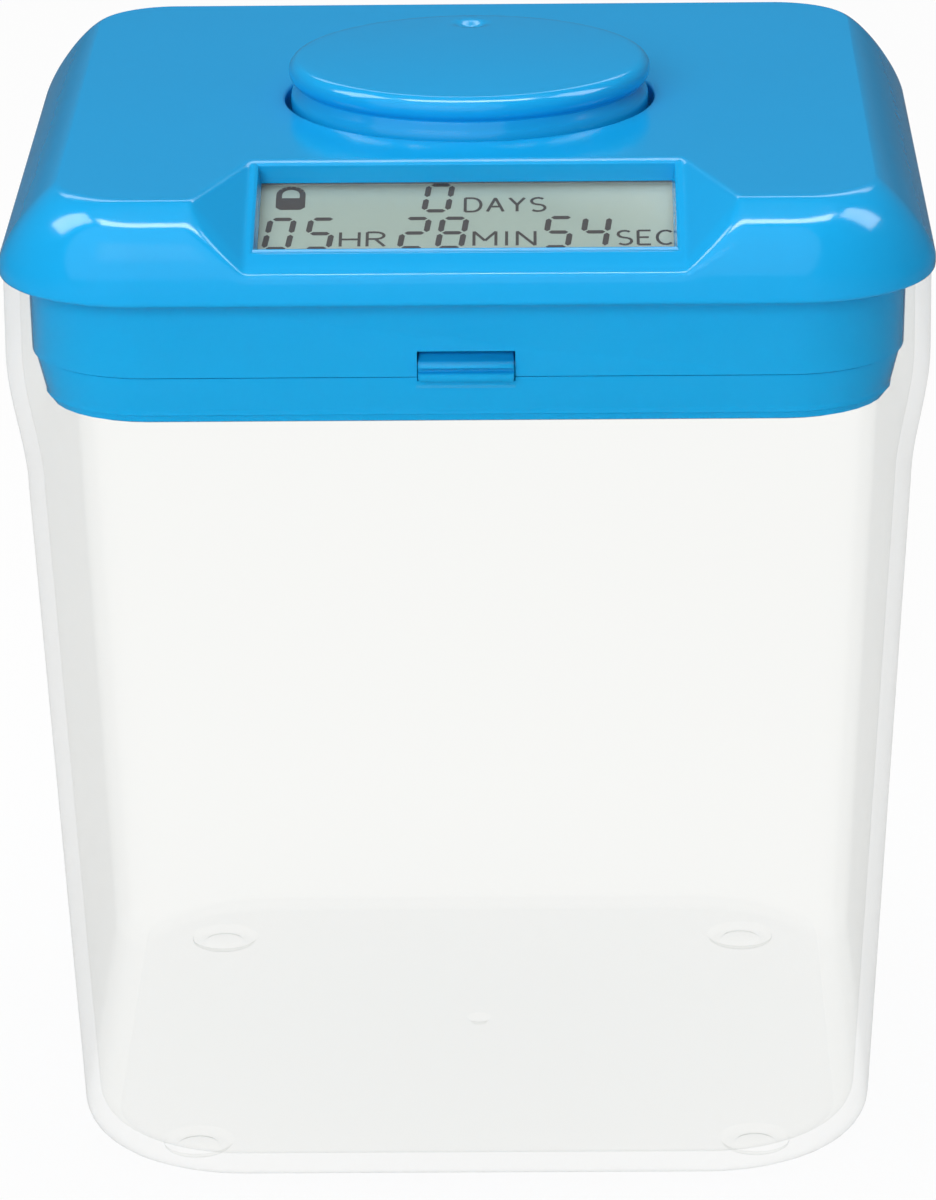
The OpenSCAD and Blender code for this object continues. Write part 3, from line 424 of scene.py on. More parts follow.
# %% [markdown]
# ## Tools for making surfaces
# Almost every outside surface here is a stack of rounded squares. A function that returns
# one such outline, always with the same count of points, lets a whole wall be joined row
# by row. All sizes are in millimetres until the mesh is made.

# %% Outlines, rows and meshes
ARC_STEPS = 22
CORNERS = ((-1, -1), (-1, 1), (1, -1), (1, 1))


def arc_points(cx, cy, radius, start):
    """A quarter turn from a start angle in degrees, both ends included."""
    turn = np.radians(start + np.linspace(0, 90, ARC_STEPS + 1))
    return np.stack([cx + radius * np.cos(turn), cy + radius * np.sin(turn)], axis=1)


def outline(half, radius, reach=0.0, front=(), side=()):
    """A rounded square seen from above, starting at the front's left end.

    reach moves the front out; front and side are extra places along those stretches."""
    c = half - radius
    front, side = np.asarray(front, float), np.asarray(side, float)
    near = -c - reach
    rows = [
        np.stack([front, np.full(len(front), near - radius)], axis=1),
        arc_points(c, near, radius, -90),
        np.stack([np.full(len(side), c + radius), near + side * (c - near)], axis=1),
        arc_points(c, c, radius, 0),
        arc_points(-c, c, radius, 90),
        np.stack([np.full(len(side), -c - radius), c - side * (c - near)], axis=1),
        arc_points(-c, near, radius, 180),
    ]
    return np.concatenate(rows)


def at_height(points, z):
    """Gives flat points a height, one number or one for each point."""
    heights = np.full(len(points), z, float) if np.isscalar(z) else z
    return np.column_stack([points, heights])


class Surface:
    """Collects points and faces of one piece, in millimetres."""

    def __init__(self):
        self.points = []
        self.faces = []

    def row(self, points):
        start = len(self.points)
        self.points.extend(map(tuple, points))
        return list(range(start, len(self.points)))

    def band(self, low, high):
        """Joins two closed rows of the same count with quads."""
        for i in range(len(low)):
            self.faces.append((low[i - 1], low[i], high[i], high[i - 1]))

    def stack(self, rows):
        """A wall of closed rows; returns the first and the last."""
        rings = [self.row(points) for points in rows]
        for low, high in zip(rings, rings[1:]):
            self.band(low, high)
        return rings[0], rings[-1]

    def cap(self, ring, flip=False):
        self.faces.append(tuple(reversed(ring)) if flip else tuple(ring))

    def flat_fill(self, loops, facing=1):
        """Fills a flat outline that has holes in it with triangles."""
        grid = bmesh.new()
        known = {}
        for loop in loops:
            made = []
            for index in loop:
                vertex = known.get(index)
                if vertex is None:
                    vertex = grid.verts.new(self.points[index])
                    known[index] = vertex
                made.append(vertex)
            for first, second in zip(made, made[1:] + made[:1]):
                grid.edges.new((first, second))
        back = {vertex: index for index, vertex in known.items()}
        bmesh.ops.triangle_fill(grid, use_beauty=True, edges=grid.edges[:])
        for face in grid.faces:
            corners = [back[v] for v in face.verts]
            upward = face.normal.z > 0
            self.faces.append(tuple(corners if upward == (facing > 0) else reversed(corners)))
        grid.free()

    def lathe(self, profile, steps=96, centre=(0.0, 0.0)):
        """Turns a profile of (radius, height) points about an upright axis."""
        turn = np.linspace(0, 2 * np.pi, steps, endpoint=False)
        rows = [
            np.stack([
                centre[0] + r * np.cos(turn), centre[1] + r * np.sin(turn), np.full(steps, z)
            ], axis=1)
            for r, z in profile
        ]
        return self.stack(rows)

    def piece(self, name, material, body, slot, *nodes, turn=None):
        """Makes the object, in metres, riding on its body."""
        mesh = bpy.data.meshes.new(name)
        points = np.array(self.points) * MM
        mesh.from_pydata(points.tolist(), [], self.faces)
        mesh.validate()
        if turn is not None:
            mesh.transform(turn)
        mesh.materials.append(material)
        obj = bpy.data.objects.new(name, mesh)
        bpy.context.scene.collection.objects.link(obj)
        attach(obj, body)
        if nodes:
            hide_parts(*nodes)
        return ease(obj)


def turned_out(obj):
    """Makes every face of a closed piece look outwards."""
    grid = bmesh.new()
    grid.from_mesh(obj.data)
    bmesh.ops.recalc_face_normals(grid, faces=grid.faces[:])
    grid.to_mesh(obj.data)
    grid.free()
    return obj


def cut_with(obj, cutter):
    """Takes a cutter's volume off a piece for good, and throws the cutter away."""
    tool = obj.modifiers.new("cut", "BOOLEAN")
    tool.operation = "DIFFERENCE"
    tool.solver = "EXACT"
    tool.object = cutter
    held = [m for m in obj.modifiers if m != tool]
    for other in held:
        other.show_viewport = False
    graph = bpy.context.evaluated_depsgraph_get()
    graph.update()
    fresh = bpy.data.meshes.new_from_object(obj.evaluated_get(graph))
    obj.modifiers.remove(tool)
    for other in held:
        other.show_viewport = True
    obj.data = fresh
    bpy.data.objects.remove(cutter, do_unlink=True)
    return obj


def block_cutter(low, high):
    """A plain box for cutting, between two corners in millimetres."""
    grid = bmesh.new()
    bmesh.ops.create_cube(grid, size=1.0)
    low, high = Vector(low) * MM, Vector(high) * MM
    for vertex in grid.verts:
        for axis in range(3):
            vertex.co[axis] = low[axis] if vertex.co[axis] < 0 else high[axis]
    mesh = bpy.data.meshes.new("cutter")
    grid.to_mesh(mesh)
    grid.free()
    obj = bpy.data.objects.new("cutter", mesh)
    bpy.context.scene.collection.objects.link(obj)
    return obj


print("outline points:", len(outline(10, 3)))

# %% [markdown]
# ## The tub
# The tub is one clear moulding: it leans out a little on its way up, flares below the
# collar and stands on four small feet. Clear plastic shows every fault, so the wall is a
# loft with close rows where it bends, outside and inside, joined over the top edge.

# %% Tub sizes
TUB_TOP = 156.7
FOOT_H = 1.0
TUB_WALL = 2.6
TUB_FLOOR = 3.0
COLLAR_HALF = 75.6
BODY_HALF = 72.8
BASE_HALF = 66.8
COLLAR_Z = 143.0
FLARE_Z = 119.0
TOP_CORNER = 24.0
BASE_CORNER = 28.0
EDGE_R = 6.0
FOOT_R = 5.8
FOOT_DIMPLE_R = 3.4
FOOT_AT = 47.6
GATE_R = 1.6
POCKET_HALF = 8.0
POCKET_Y = 74.65
POCKET_LOW = 142.95
POCKET_HIGH = 146.85
TUB_LIP_R = 0.5
FOOT_PROFILE = (
    (FOOT_R + 0.8, FOOT_H), (FOOT_R + 0.3, FOOT_H), (FOOT_R + 0.06, FOOT_H - 0.12),
    (FOOT_R, FOOT_H - 0.35), (FOOT_R - 0.1, 0.25), (FOOT_R - 0.4, 0.06), (FOOT_R - 0.8, 0.0),
    (FOOT_DIMPLE_R + 0.5, 0.0), (FOOT_DIMPLE_R + 0.1, 0.12), (FOOT_DIMPLE_R - 0.2, 0.45),
    (FOOT_DIMPLE_R - 0.7, 0.6),
)
SUPPORT = 0.4


def tub_half(z):
    if z < FLARE_Z:
        return BASE_HALF + (BODY_HALF - BASE_HALF) * (z - FOOT_H) / (FLARE_Z - FOOT_H)
    t = min(1.0, (z - FLARE_Z) / (COLLAR_Z - FLARE_Z))
    return BODY_HALF + (COLLAR_HALF - BODY_HALF) * t * t * (3 - 2 * t)


def tub_corner(z):
    t = min(1.0, (z - FOOT_H) / (COLLAR_Z - FOOT_H))
    return BASE_CORNER + (TOP_CORNER - BASE_CORNER) * t


def tub_wall(floor_z, inset, edge_r, top_z):
    """Rows of a wall that starts at a rounded bottom edge and goes up to top_z."""
    low = [floor_z + edge_r * (1 - math.cos(a)) for a in np.linspace(0, math.pi / 2, 9)]
    mid = np.linspace(floor_z + edge_r + 14, FLARE_Z - 6, 5)
    flare = np.linspace(FLARE_Z, COLLAR_Z, 15)
    rows = []
    start = tub_half(floor_z) - inset - edge_r - SUPPORT
    rows.append(at_height(outline(start, tub_corner(floor_z) - inset - edge_r - SUPPORT), floor_z))
    for z in [*low, *mid, *flare, COLLAR_Z + 5, top_z]:
        deep = max(0.0, edge_r - (z - floor_z))
        edge = edge_r - math.sqrt(max(0.0, edge_r ** 2 - deep ** 2))
        half = tub_half(z) - inset - edge
        rows.append(at_height(outline(half, tub_corner(z) - inset - edge), z))
    return rows


# %% Build the tub
UPRIGHT_LIMIT = 0.9


def quiet_inside(piece):
    """Gives the faces that look at the tub's middle a fainter edge than the outside has."""
    piece.data.materials.append(clear_inside)
    for face in piece.data.polygons:
        outward = face.normal.x * face.center.x + face.normal.y * face.center.y
        if outward < 0 and abs(face.normal.z) < UPRIGHT_LIMIT:
            face.material_index = 1
    return piece


def make_tub():
    tub = Surface()
    lip = TUB_LIP_R
    floor_z = FOOT_H + TUB_FLOOR
    outer = tub_wall(FOOT_H, 0.0, EDGE_R, TUB_TOP - lip)
    inner = tub_wall(floor_z, TUB_WALL, EDGE_R - 1, TUB_TOP - lip)
    rounded = []
    middle = COLLAR_HALF - TUB_WALL / 2
    for a in np.linspace(0, math.pi, 9)[1:-1]:
        out = math.cos(a)
        wide = middle + (TUB_WALL / 2 - lip) * np.sign(out) + lip * out
        wide = middle + (TUB_WALL / 2) * out if abs(out) < 0.4 else wide
        height = TUB_TOP - lip + lip * min(1.0, 1.25 * math.sin(a))
        corner = TOP_CORNER - (COLLAR_HALF - wide)
        rounded.append(at_height(outline(wide, corner), min(TUB_TOP, height)))
    first, last = tub.stack([*outer, *rounded, *inner[::-1]])
    feet = []
    for sx, sy in CORNERS:
        start, end = tub.lathe(FOOT_PROFILE, 40, (sx * FOOT_AT, sy * FOOT_AT))
        feet.append(start)
        tub.cap(end)
    tub.flat_fill([first, *feet], facing=-1)
    rim, pit = tub.lathe([
        (GATE_R + 1.0, floor_z), (GATE_R + 0.5, floor_z), (GATE_R, floor_z - 0.3),
        (GATE_R - 0.3, floor_z - 0.9),
    ], 24)
    tub.flat_fill([last, rim], facing=1)
    tub.cap(pit)
    piece = tub.piece("tub", clear_tub, "container", "clear_tub", "container")
    turned_out(piece)
    pockets = block_cutter(
        (-POCKET_HALF, -POCKET_Y, POCKET_LOW), (POCKET_HALF, POCKET_Y, POCKET_HIGH))
    return quiet_inside(cut_with(piece, pockets))


tub = make_tub()
print("tub faces:", len(tub.data.polygons))

# %% [markdown]
# ## The lid's crown
# The lid's top is flat, falls to its rim over a rounded shoulder, and at the front it is
# cut by a tilted display facet, two side facets and two narrow bands. One way is to cut a
# block and bevel it. Here the top is a height over the plan instead: each plane is a
# formula, and a soft minimum joins them with an even, rounded crease.

# %% Lid sizes
LID_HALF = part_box("lid_top_cover")[1].x / MM
TOP_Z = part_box("lid_top_cover")[1].z / MM
LID_CORNER = 23.0
RIM_Z = 157.0
BASE_Z = 159.0
SHOULDER = 10.0
FRONT_POWER = 2.27
SIDE_POWER = 1.3
LID_WALL = 2.2
FACET_BACK = 43.2
FACET_FRONT = 73.0
FLAT_FRONT = 68.3
FACET_HALF = 35.3
KINK_HALF = 44.0
FACET_TILT = math.radians(17)
BAND_TILT = math.radians(30)
LIP_TILT = math.radians(23)
WINDOW_HALF = 34.5
WINDOW_EDGE = 0.5
WINDOW_L = 27.7
WINDOW_DEPTH = 3.4
DIAL_HOLE_R = 31.25
HOLE_EDGE_R = 0.55
WELL_FLOOR_Z = 167.5
WELL_Z = 165.7
BUSH_HOLE_R = 4.3
LIP_EDGE_Y = (-75.0, -70.0)
LIP_EDGE_SOFT = (2.8, 0.42)
FACET_FRONT_Z = TOP_Z - (FACET_FRONT - FACET_BACK) * math.tan(FACET_TILT)


def soft_low(a, b, width):
    """The lower of two heights, with the crease between them rounded over width."""
    h = np.clip(0.5 + 0.5 * (b - a) / width, 0, 1)
    return b * (1 - h) + a * h - width * h * (1 - h)


def soft_high(a, b, width):
    return -soft_low(-a, -b, width)


def lid_height(x, y, crown):
    """Height of the lid's top at x, y, where crown is the uncut height there."""
    half_gain = KINK_HALF - FACET_HALF
    facet = TOP_Z + (y + FACET_BACK) * math.tan(FACET_TILT)
    kink_z = TOP_Z - (FLAT_FRONT - FACET_BACK) * math.tan(FACET_TILT)
    side_slope = (TOP_Z - kink_z) / half_gain
    lip = FACET_FRONT_Z + (y + FACET_FRONT) * math.tan(LIP_TILT)
    lip_kink_z = FACET_FRONT_Z + (FACET_FRONT - FLAT_FRONT) * math.tan(LIP_TILT)
    lip_slope = (TOP_Z - lip_kink_z) / half_gain
    aside = np.abs(x) - FACET_HALF
    facet = soft_high(facet, facet + aside * side_slope, 0.5)
    lip = soft_high(lip, lip + aside * lip_slope, 0.5)
    band = TOP_Z + (y + FLAT_FRONT) * math.tan(BAND_TILT)
    notch = soft_low(facet, lip, 0.12)
    top = soft_low(crown, band, 0.5)
    return soft_low(top, notch, np.interp(y, LIP_EDGE_Y, LIP_EDGE_SOFT))


print("facet front edge at z", round(FACET_FRONT_Z, 2))

# %% [markdown]
# The plan is laid out so that mesh lines follow the creases: rows run along the front at
# chosen depths, close together where the surface bends, and columns gather near the side
# facets. The shoulder's rows go on round the corners, sides and back. The flat middle
# needs no rows at all, and is filled in one go round the dial's hole.

# %% Rows, columns and the lid's two skins
FIELD_BACK = 41.2
COLUMN_END = LID_HALF - LID_CORNER
SIDE_PLACES = (0.25, 0.5, 0.75)
WINDOW_ROW = 7
WINDOW_LEVEL = 11
STEEP_SHARE = 0.93
WINDOW_BACK_Y = -(FACET_BACK + WINDOW_EDGE * math.cos(FACET_TILT))
WINDOW_FRONT_Y = -(FACET_BACK + (WINDOW_EDGE + WINDOW_L) * math.cos(FACET_TILT))


def columns():
    """Places across the front, the same on both sides, without the ends."""
    middle = np.linspace(0, WINDOW_HALF, 14)
    facets = np.arange(WINDOW_HALF + 0.4, 47.3, 0.4)
    rest = np.linspace(48.0, COLUMN_END - 0.9, 6)
    right = np.concatenate([middle[1:], facets, rest])
    return np.concatenate([-right[::-1], [0.0], right])


def shoulder_share(level, power):
    """How much of the shoulder's width is left at a level from 0, base, to 1, top."""
    return (1 - level ** power) ** (1 / power)


def shoulder_levels():
    """Levels from the flat top to the base, with one at the window's front edge."""
    reach = (-WINDOW_FRONT_Y - (LID_HALF - SHOULDER)) / SHOULDER
    window = (1 - reach ** FRONT_POWER) ** (1 / FRONT_POWER)
    shares = np.concatenate([
        np.linspace(0, reach, WINDOW_LEVEL + 1), np.linspace(reach, STEEP_SHARE, 20)[1:]])
    levels = (1 - shares ** FRONT_POWER) ** (1 / FRONT_POWER)
    levels[WINDOW_LEVEL] = window
    return np.concatenate([levels, np.linspace(levels[-1], 0, 28)[1:]])


COLUMNS = columns()
LEVELS = shoulder_levels()
FIELD_ROWS = np.concatenate([
    np.linspace(FIELD_BACK, FACET_BACK - 1.2, 3),
    np.linspace(FACET_BACK - 0.8, -WINDOW_BACK_Y, 5),
    np.linspace(-WINDOW_BACK_Y, FACET_BACK + 2.4, 6)[1:],
    np.linspace(FACET_BACK + 2.4, LID_HALF - SHOULDER, 34)[1:-1],
])
LIP_ROWS = (
    (0.1, 0.12, 0.05), (0.28, 0.35, 0.2), (0.4, 0.9, 0.26), (0.48, 1.6, 0.32),
    (0.52, 1.95, 0.42), (0.56, 2.1, 0.7), (0.95, 2.15, WINDOW_DEPTH - 0.02),
    (0.0, 0.0, WINDOW_DEPTH - 0.02),
)


RIM_ROWS = (
    (0.0, RIM_Z + 0.9), (0.07, RIM_Z + 0.5), (0.25, RIM_Z + 0.2), (0.55, RIM_Z), (LID_WALL, RIM_Z),
)


def lid_skin(lid, inset):
    """One skin of the lid, outer or inner; returns its open edges for joining."""
    crown_top = TOP_Z - inset
    top_half = LID_HALF - SHOULDER - inset
    field = []
    span = (top_half - FIELD_BACK) / (LID_HALF - SHOULDER - FIELD_BACK)
    ends = np.array([-COLUMN_END, COLUMN_END])
    across = np.concatenate([ends[:1], COLUMNS, ends[1:]])
    for depth in FIELD_ROWS:
        y = -(FIELD_BACK + (depth - FIELD_BACK) * span)
        flat = np.stack([across, np.full(len(across), y)], axis=1)
        z = lid_height(flat[:, 0], flat[:, 1], crown_top + inset) - inset
        field.append(lid.row(at_height(flat, z)))
    rings = []
    for level in LEVELS:
        half = top_half + SHOULDER * shoulder_share(level, SIDE_POWER)
        front = top_half + SHOULDER * shoulder_share(level, FRONT_POWER)
        flat = outline(half, half - COLUMN_END, front - half, COLUMNS, SIDE_PLACES)
        crown = BASE_Z + (crown_top - BASE_Z) * level
        z = lid_height(flat[:, 0], flat[:, 1], crown + inset) - inset
        rings.append(lid.row(at_height(flat, z)))
    count = len(COLUMNS)

    def stretch(ring):
        """The front of a ring, from its left end to its right end."""
        return [ring[-1], *ring[:count], ring[count]]

    rows = [*field, stretch(rings[0])]
    window = np.abs(across[:-1] + across[1:]) / 2 < WINDOW_HALF
    for number, (behind, ahead) in enumerate(zip(rows, rows[1:])):
        for i in range(len(across) - 1):
            if window[i] and number >= WINDOW_ROW:
                continue
            lid.faces.append((behind[i], ahead[i], ahead[i + 1], behind[i + 1]))
    for number, (upper, lower) in enumerate(zip(rings, rings[1:])):
        n = len(upper)
        for i in range(n):
            j = (i + 1) % n
            if not (number < WINDOW_LEVEL and i < count - 1 and window[i + 1]):
                lid.faces.append((upper[i], lower[i], lower[j], upper[j]))
    middle = [i for i, x in enumerate(across) if abs(x) <= WINDOW_HALF + 1e-6]
    first, last = middle[0], middle[-1]
    hole = [rows[WINDOW_ROW][i] for i in middle]
    hole += [row[last] for row in rows[WINDOW_ROW + 1:]]
    low = stretch(rings[WINDOW_LEVEL])
    hole += [stretch(ring)[last] for ring in rings[1:WINDOW_LEVEL]]
    hole += [low[i] for i in reversed(middle)]
    hole += [stretch(ring)[first] for ring in reversed(rings[1:WINDOW_LEVEL])]
    hole += [row[first] for row in reversed(rows[WINDOW_ROW + 1:])]
    edge = rings[0][count:]
    loop = [*edge, *[row[0] for row in reversed(field)], *field[0][1:-1],
            *[row[-1] for row in field]]
    border = np.array([lid.points[i] for i in loop])
    along = np.roll(border, -1, axis=0) - np.roll(border, 1, axis=0)
    along /= np.linalg.norm(along, axis=1)[:, None]
    border[:, 0] -= along[:, 1] * SUPPORT
    border[:, 1] += along[:, 0] * SUPPORT
    support = lid.row(border)
    lid.band(support, loop)
    return {"rim": rings[-1], "hole": hole, "flat": support}


def make_lid():
    lid = Surface()
    outer = lid_skin(lid, 0.0)
    inner = lid_skin(lid, LID_WALL)
    edge = HOLE_EDGE_R
    well_r = DIAL_HOLE_R + 1.8
    profile = [(DIAL_HOLE_R + edge * 2, TOP_Z)]
    profile += [(DIAL_HOLE_R + edge * (1 - math.sin(a)), TOP_Z - edge * (1 - math.cos(a)))
                for a in (math.pi / 8 * k for k in range(5))]
    profile += [
        (DIAL_HOLE_R, TOP_Z - 2), (DIAL_HOLE_R, WELL_FLOOR_Z + 0.4),
        (DIAL_HOLE_R - 0.4, WELL_FLOOR_Z), (BUSH_HOLE_R + 0.2, WELL_FLOOR_Z),
        (BUSH_HOLE_R, WELL_FLOOR_Z - 0.2), (BUSH_HOLE_R, WELL_Z), (well_r - 0.5, WELL_Z),
        (well_r, WELL_Z + 0.5), (well_r, TOP_Z - LID_WALL)]
    upper, lower = lid.lathe(profile, 144)
    lid.flat_fill([outer["flat"], upper], facing=1)
    lid.flat_fill([inner["flat"], lower], facing=-1)
    out = np.array([0.0, -math.sin(FACET_TILT), math.cos(FACET_TILT)])
    middle_y = (WINDOW_BACK_Y + WINDOW_FRONT_Y) / 2
    edge_points = np.array([lid.points[i] for i in outer["hole"]])
    aside = np.sign(edge_points[:, 0]) * (np.abs(edge_points[:, 0]) > WINDOW_HALF - 1e-3)
    along = np.sign(edge_points[:, 1] - middle_y)
    ends = (np.abs(edge_points[:, 1] - WINDOW_BACK_Y) < 1e-3)
    ends |= np.abs(edge_points[:, 1] - WINDOW_FRONT_Y) < 1e-3
    rows = [outer["hole"]]
    for inward, near, deep in LIP_ROWS:
        moved = edge_points - out * deep
        moved[:, 0] -= aside * inward
        step = along * ends * np.where(along < 0, near, inward)
        moved[:, 1] -= step * math.cos(FACET_TILT)
        moved[:, 2] -= step * math.sin(FACET_TILT)
        rows.append(lid.row(moved))
    rows.append(inner["hole"])
    for above, below in zip(rows, rows[1:]):
        lid.band(above, below)
    rows = [outer["rim"]]
    for inward, z in RIM_ROWS:
        flat = outline(LID_HALF - inward, LID_CORNER - inward, 0.0, COLUMNS, SIDE_PLACES)
        rows.append(lid.row(at_height(flat, z)))
    rows.append(inner["rim"])
    for low, high in zip(rows, rows[1:]):
        lid.band(low, high)
    piece = lid.piece("lid_shell", lid_plastic, "lid", "lid_blue", "lid_top_cover")
    return turned_out(piece)


lid = make_lid()
print("lid faces:", len(lid.data.polygons))

# %% [markdown]
# ## The dial
# The dial is a turned shape with a rounded rim, a groove under it and a straight neck, so
# its outside is a profile spun round an axis. The finger dimple near the rim is pressed in
# afterwards by lowering points that lie inside a ball.

# %% Dial sizes and mesh
DIAL_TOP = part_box("dial_knob")[1].z / MM
DIAL_R = 30.6
NECK_R = 30.3
GROOVE_R = 29.3
DIAL_RIM_R = 2.1
DIAL_SAG = 0.5
DIAL_FOOT = 169.1
DIAL_WALL = 2.2
DIMPLE_AT = 22.0
DIMPLE_R = 3.1
DIMPLE_DEEP = 0.85
HUB_R = 6.6
HUB_Z = 171.3
SHAFT_R = 3.02
SHAFT_TOP = 176.6


def make_dial():
    dial = Surface()
    rim_z = DIAL_TOP - DIAL_SAG - DIAL_RIM_R
    groove_z = rim_z - DIAL_RIM_R
    flat_r = DIAL_R - DIAL_RIM_R
    top = [(flat_r * s, DIAL_TOP - DIAL_SAG * s * s) for s in np.linspace(0.02, 0.97, 26)]
    rim = [(flat_r + DIAL_RIM_R * math.cos(a), rim_z + DIAL_RIM_R * math.sin(a))
           for a in np.radians(np.linspace(84, -62, 22))]
    neck = [(GROOVE_R + 0.1, groove_z + 0.15), (GROOVE_R, groove_z - 0.1),
            (GROOVE_R + 0.15, groove_z - 0.5),
            (NECK_R - 0.4, groove_z - 1.2), (NECK_R - 0.15, groove_z - 1.8),
            (NECK_R, groove_z - 2.5), (NECK_R, DIAL_FOOT + 0.6), (NECK_R - 0.15, DIAL_FOOT + 0.2),
            (NECK_R - 0.6, DIAL_FOOT)]
    inside = NECK_R - DIAL_WALL
    roof = DIAL_TOP - DIAL_SAG - DIAL_WALL
    hollow = [(inside, DIAL_FOOT), (inside, groove_z), (GROOVE_R - DIAL_WALL, groove_z + 1),
              (GROOVE_R - DIAL_WALL, roof - 0.4), (GROOVE_R - DIAL_WALL - 0.4, roof),
              (HUB_R + 0.4, roof), (HUB_R, roof - 0.4), (HUB_R, HUB_Z + 0.2),
              (HUB_R - 0.2, HUB_Z), (SHAFT_R, HUB_Z), (SHAFT_R, SHAFT_TOP)]
    first, last = dial.lathe([*top, *rim, *neck, *hollow], 160)
    dial.cap(first)
    dial.cap(last, flip=True)
    points = np.array(dial.points)
    away = np.hypot(points[:, 0], points[:, 1] - DIMPLE_AT) / DIMPLE_R
    on_top = points[:, 2] > DIAL_TOP - DIAL_SAG - 0.3
    press = on_top * DIMPLE_DEEP * np.clip(1 - away ** 2, 0, 1) ** 1.5
    points[:, 2] -= press
    dial.points = list(map(tuple, points))
    return turned_out(dial.piece("dial", lid_plastic, "dial", "lid_blue", "dial_knob"))


dial = make_dial()
print("dial faces:", len(dial.data.polygons))

# %% [markdown]
# ## The skirt and the bolts
# Under the rim a skirt plugs the collar, with a slot at the front and at the back where a
# bolt comes out. It is a loft again. Its slots are cut, and its lower edge is eased so
# that the line where it meets the bottom cover shows as on the real lid.

# %% Skirt sizes and mesh
SKIRT_HALF = 71.2
SKIRT_FLARE = 0.3
SKIRT_CORNER = 19.6
SKIRT_WALL = 1.9
FLANGE_HALF = 73.9
FLANGE_T = 2.0
PARTING_Z = 143.7
SLOT_HALF = 7.9
SLOT_HIGH = 148.1


def make_skirt():
    skirt = Surface()
    inside = SKIRT_HALF - SKIRT_WALL
    flange_corner = LID_CORNER - LID_WALL - 0.1
    top = RIM_Z + FLANGE_T
    profile = [
        (inside, SKIRT_CORNER - SKIRT_WALL, PARTING_Z),
        (SKIRT_HALF - 0.4, SKIRT_CORNER - 0.4, PARTING_Z),
        (SKIRT_HALF - 0.1, SKIRT_CORNER - 0.1, PARTING_Z + 0.12),
        (SKIRT_HALF, SKIRT_CORNER, PARTING_Z + 0.4),
        (SKIRT_HALF + SKIRT_FLARE, SKIRT_CORNER + SKIRT_FLARE, RIM_Z - 0.5),
        (SKIRT_HALF + SKIRT_FLARE + 0.3, SKIRT_CORNER + SKIRT_FLARE + 0.3, RIM_Z),
        (FLANGE_HALF, flange_corner, RIM_Z),
        (FLANGE_HALF, flange_corner, top),
        (inside, SKIRT_CORNER - SKIRT_WALL, top),
    ]
    rows = [at_height(outline(half, corner), z) for half, corner, z in profile]
    first, last = skirt.stack(rows)
    skirt.band(last, first)
    piece = skirt.piece("skirt", lid_plastic, "lid", "lid_blue", "lid_skirt")
    turned_out(piece)
    slot = block_cutter((-SLOT_HALF, -80, PARTING_Z - 1), (SLOT_HALF, 80, SLOT_HIGH))
    return cut_with(piece, slot)


# %% Build the bolts
BOLT_HALF = 7.75
BOLT_TIP = 72.5
BOLT_BACK = 9.9
BOLT_TOP = 146.6
CAM_R = 12.0
FOLLOWER_R = 1.5
FOLLOWER_TOP = 149.9
BOLT_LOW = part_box("bolt_front")[0].z / MM
BOLT_PROFILE = [
    (BOLT_BACK, BOLT_LOW), (BOLT_BACK, BOLT_TOP),
    *((BOLT_TIP - back, BOLT_TOP + up) for back, up in (
        (6.6, 0), (6.0, 1.1), (4.4, 1.2), (3.0, 0.75), (1.7, 0.1), (0.9, 0.05), (0.45, -0.12),
        (0.12, -0.4), (0, -0.75), (0, -1.0), (0.2, -1.15), (1.0, -1.3), (1.0, -1.8),
        (0.2, -1.95), (0, -2.15), (0, -2.6), (0.15, -2.95))),
    (BOLT_TIP - 0.6, BOLT_LOW),
]
BOLT_ROWS = ((-1, 0.3), (-0.98, 0.08), (-0.96, 0.0), (0.96, 0.0), (0.98, 0.08), (1, 0.3))


def make_bolt(name, node, turn):
    """A bolt that points to the front, with rounded lips above and below its groove."""
    bolt = Surface()
    centre_z = (BOLT_LOW + BOLT_TOP) / 2
    rows = []
    for share, shrink in BOLT_ROWS:
        rows.append([
            (share * BOLT_HALF, -(y - (shrink if y > BOLT_BACK else 0)),
             z + (centre_z - z) * shrink * 0.5)
            for y, z in BOLT_PROFILE])
    left, right = bolt.stack(rows)
    bolt.cap(left)
    bolt.cap(right)
    follower = bolt.lathe([
        (FOLLOWER_R, BOLT_TOP - 0.05), (FOLLOWER_R, FOLLOWER_TOP - 0.2),
        (FOLLOWER_R - 0.2, FOLLOWER_TOP)], 24, (0, -CAM_R))
    bolt.cap(follower[1])
    return turned_out(bolt.piece(name, lid_plastic, node, "lid_blue", node, turn=turn))


skirt = make_skirt()
front_bolt = make_bolt("front_bolt", "bolt_front", None)
rear_bolt = make_bolt("rear_bolt", "bolt_rear", Matrix.Rotation(math.pi, 4, "Z"))
print("skirt faces:", len(skirt.data.polygons), "bolt faces:", len(front_bolt.data.polygons))

# %% [markdown]
# ## The display
# Behind a clear window lies a liquid crystal panel. Its dark segments could be painted on
# by a texture, but thin shapes that lie on the glass stay sharp from close by. Every digit
# is built from the same seven slanted bars, and the unit marks from plain strokes.

# %% Display frame and window
FACET_FRAME = (
    Matrix.Translation(Vector((0, -FACET_BACK, TOP_Z)) * MM)
    @ Matrix.Rotation(FACET_TILT, 4, "X")
)
LENS_T = 0.8
STACK_GAP = 0.1
LCD_T = 1.1
STACK_HALF = 35.5
STACK_WALL = 1.2
STACK_LOW = -29.2
STACK_HIGH = 0.5
LCD_Z = -WINDOW_DEPTH - LENS_T - STACK_GAP
STACK_END = LCD_Z - LCD_T - 1.6


def rect(x0, y0, x1, y1, z):
    return [(x0, y0, z), (x1, y0, z), (x1, y1, z), (x0, y1, z)]


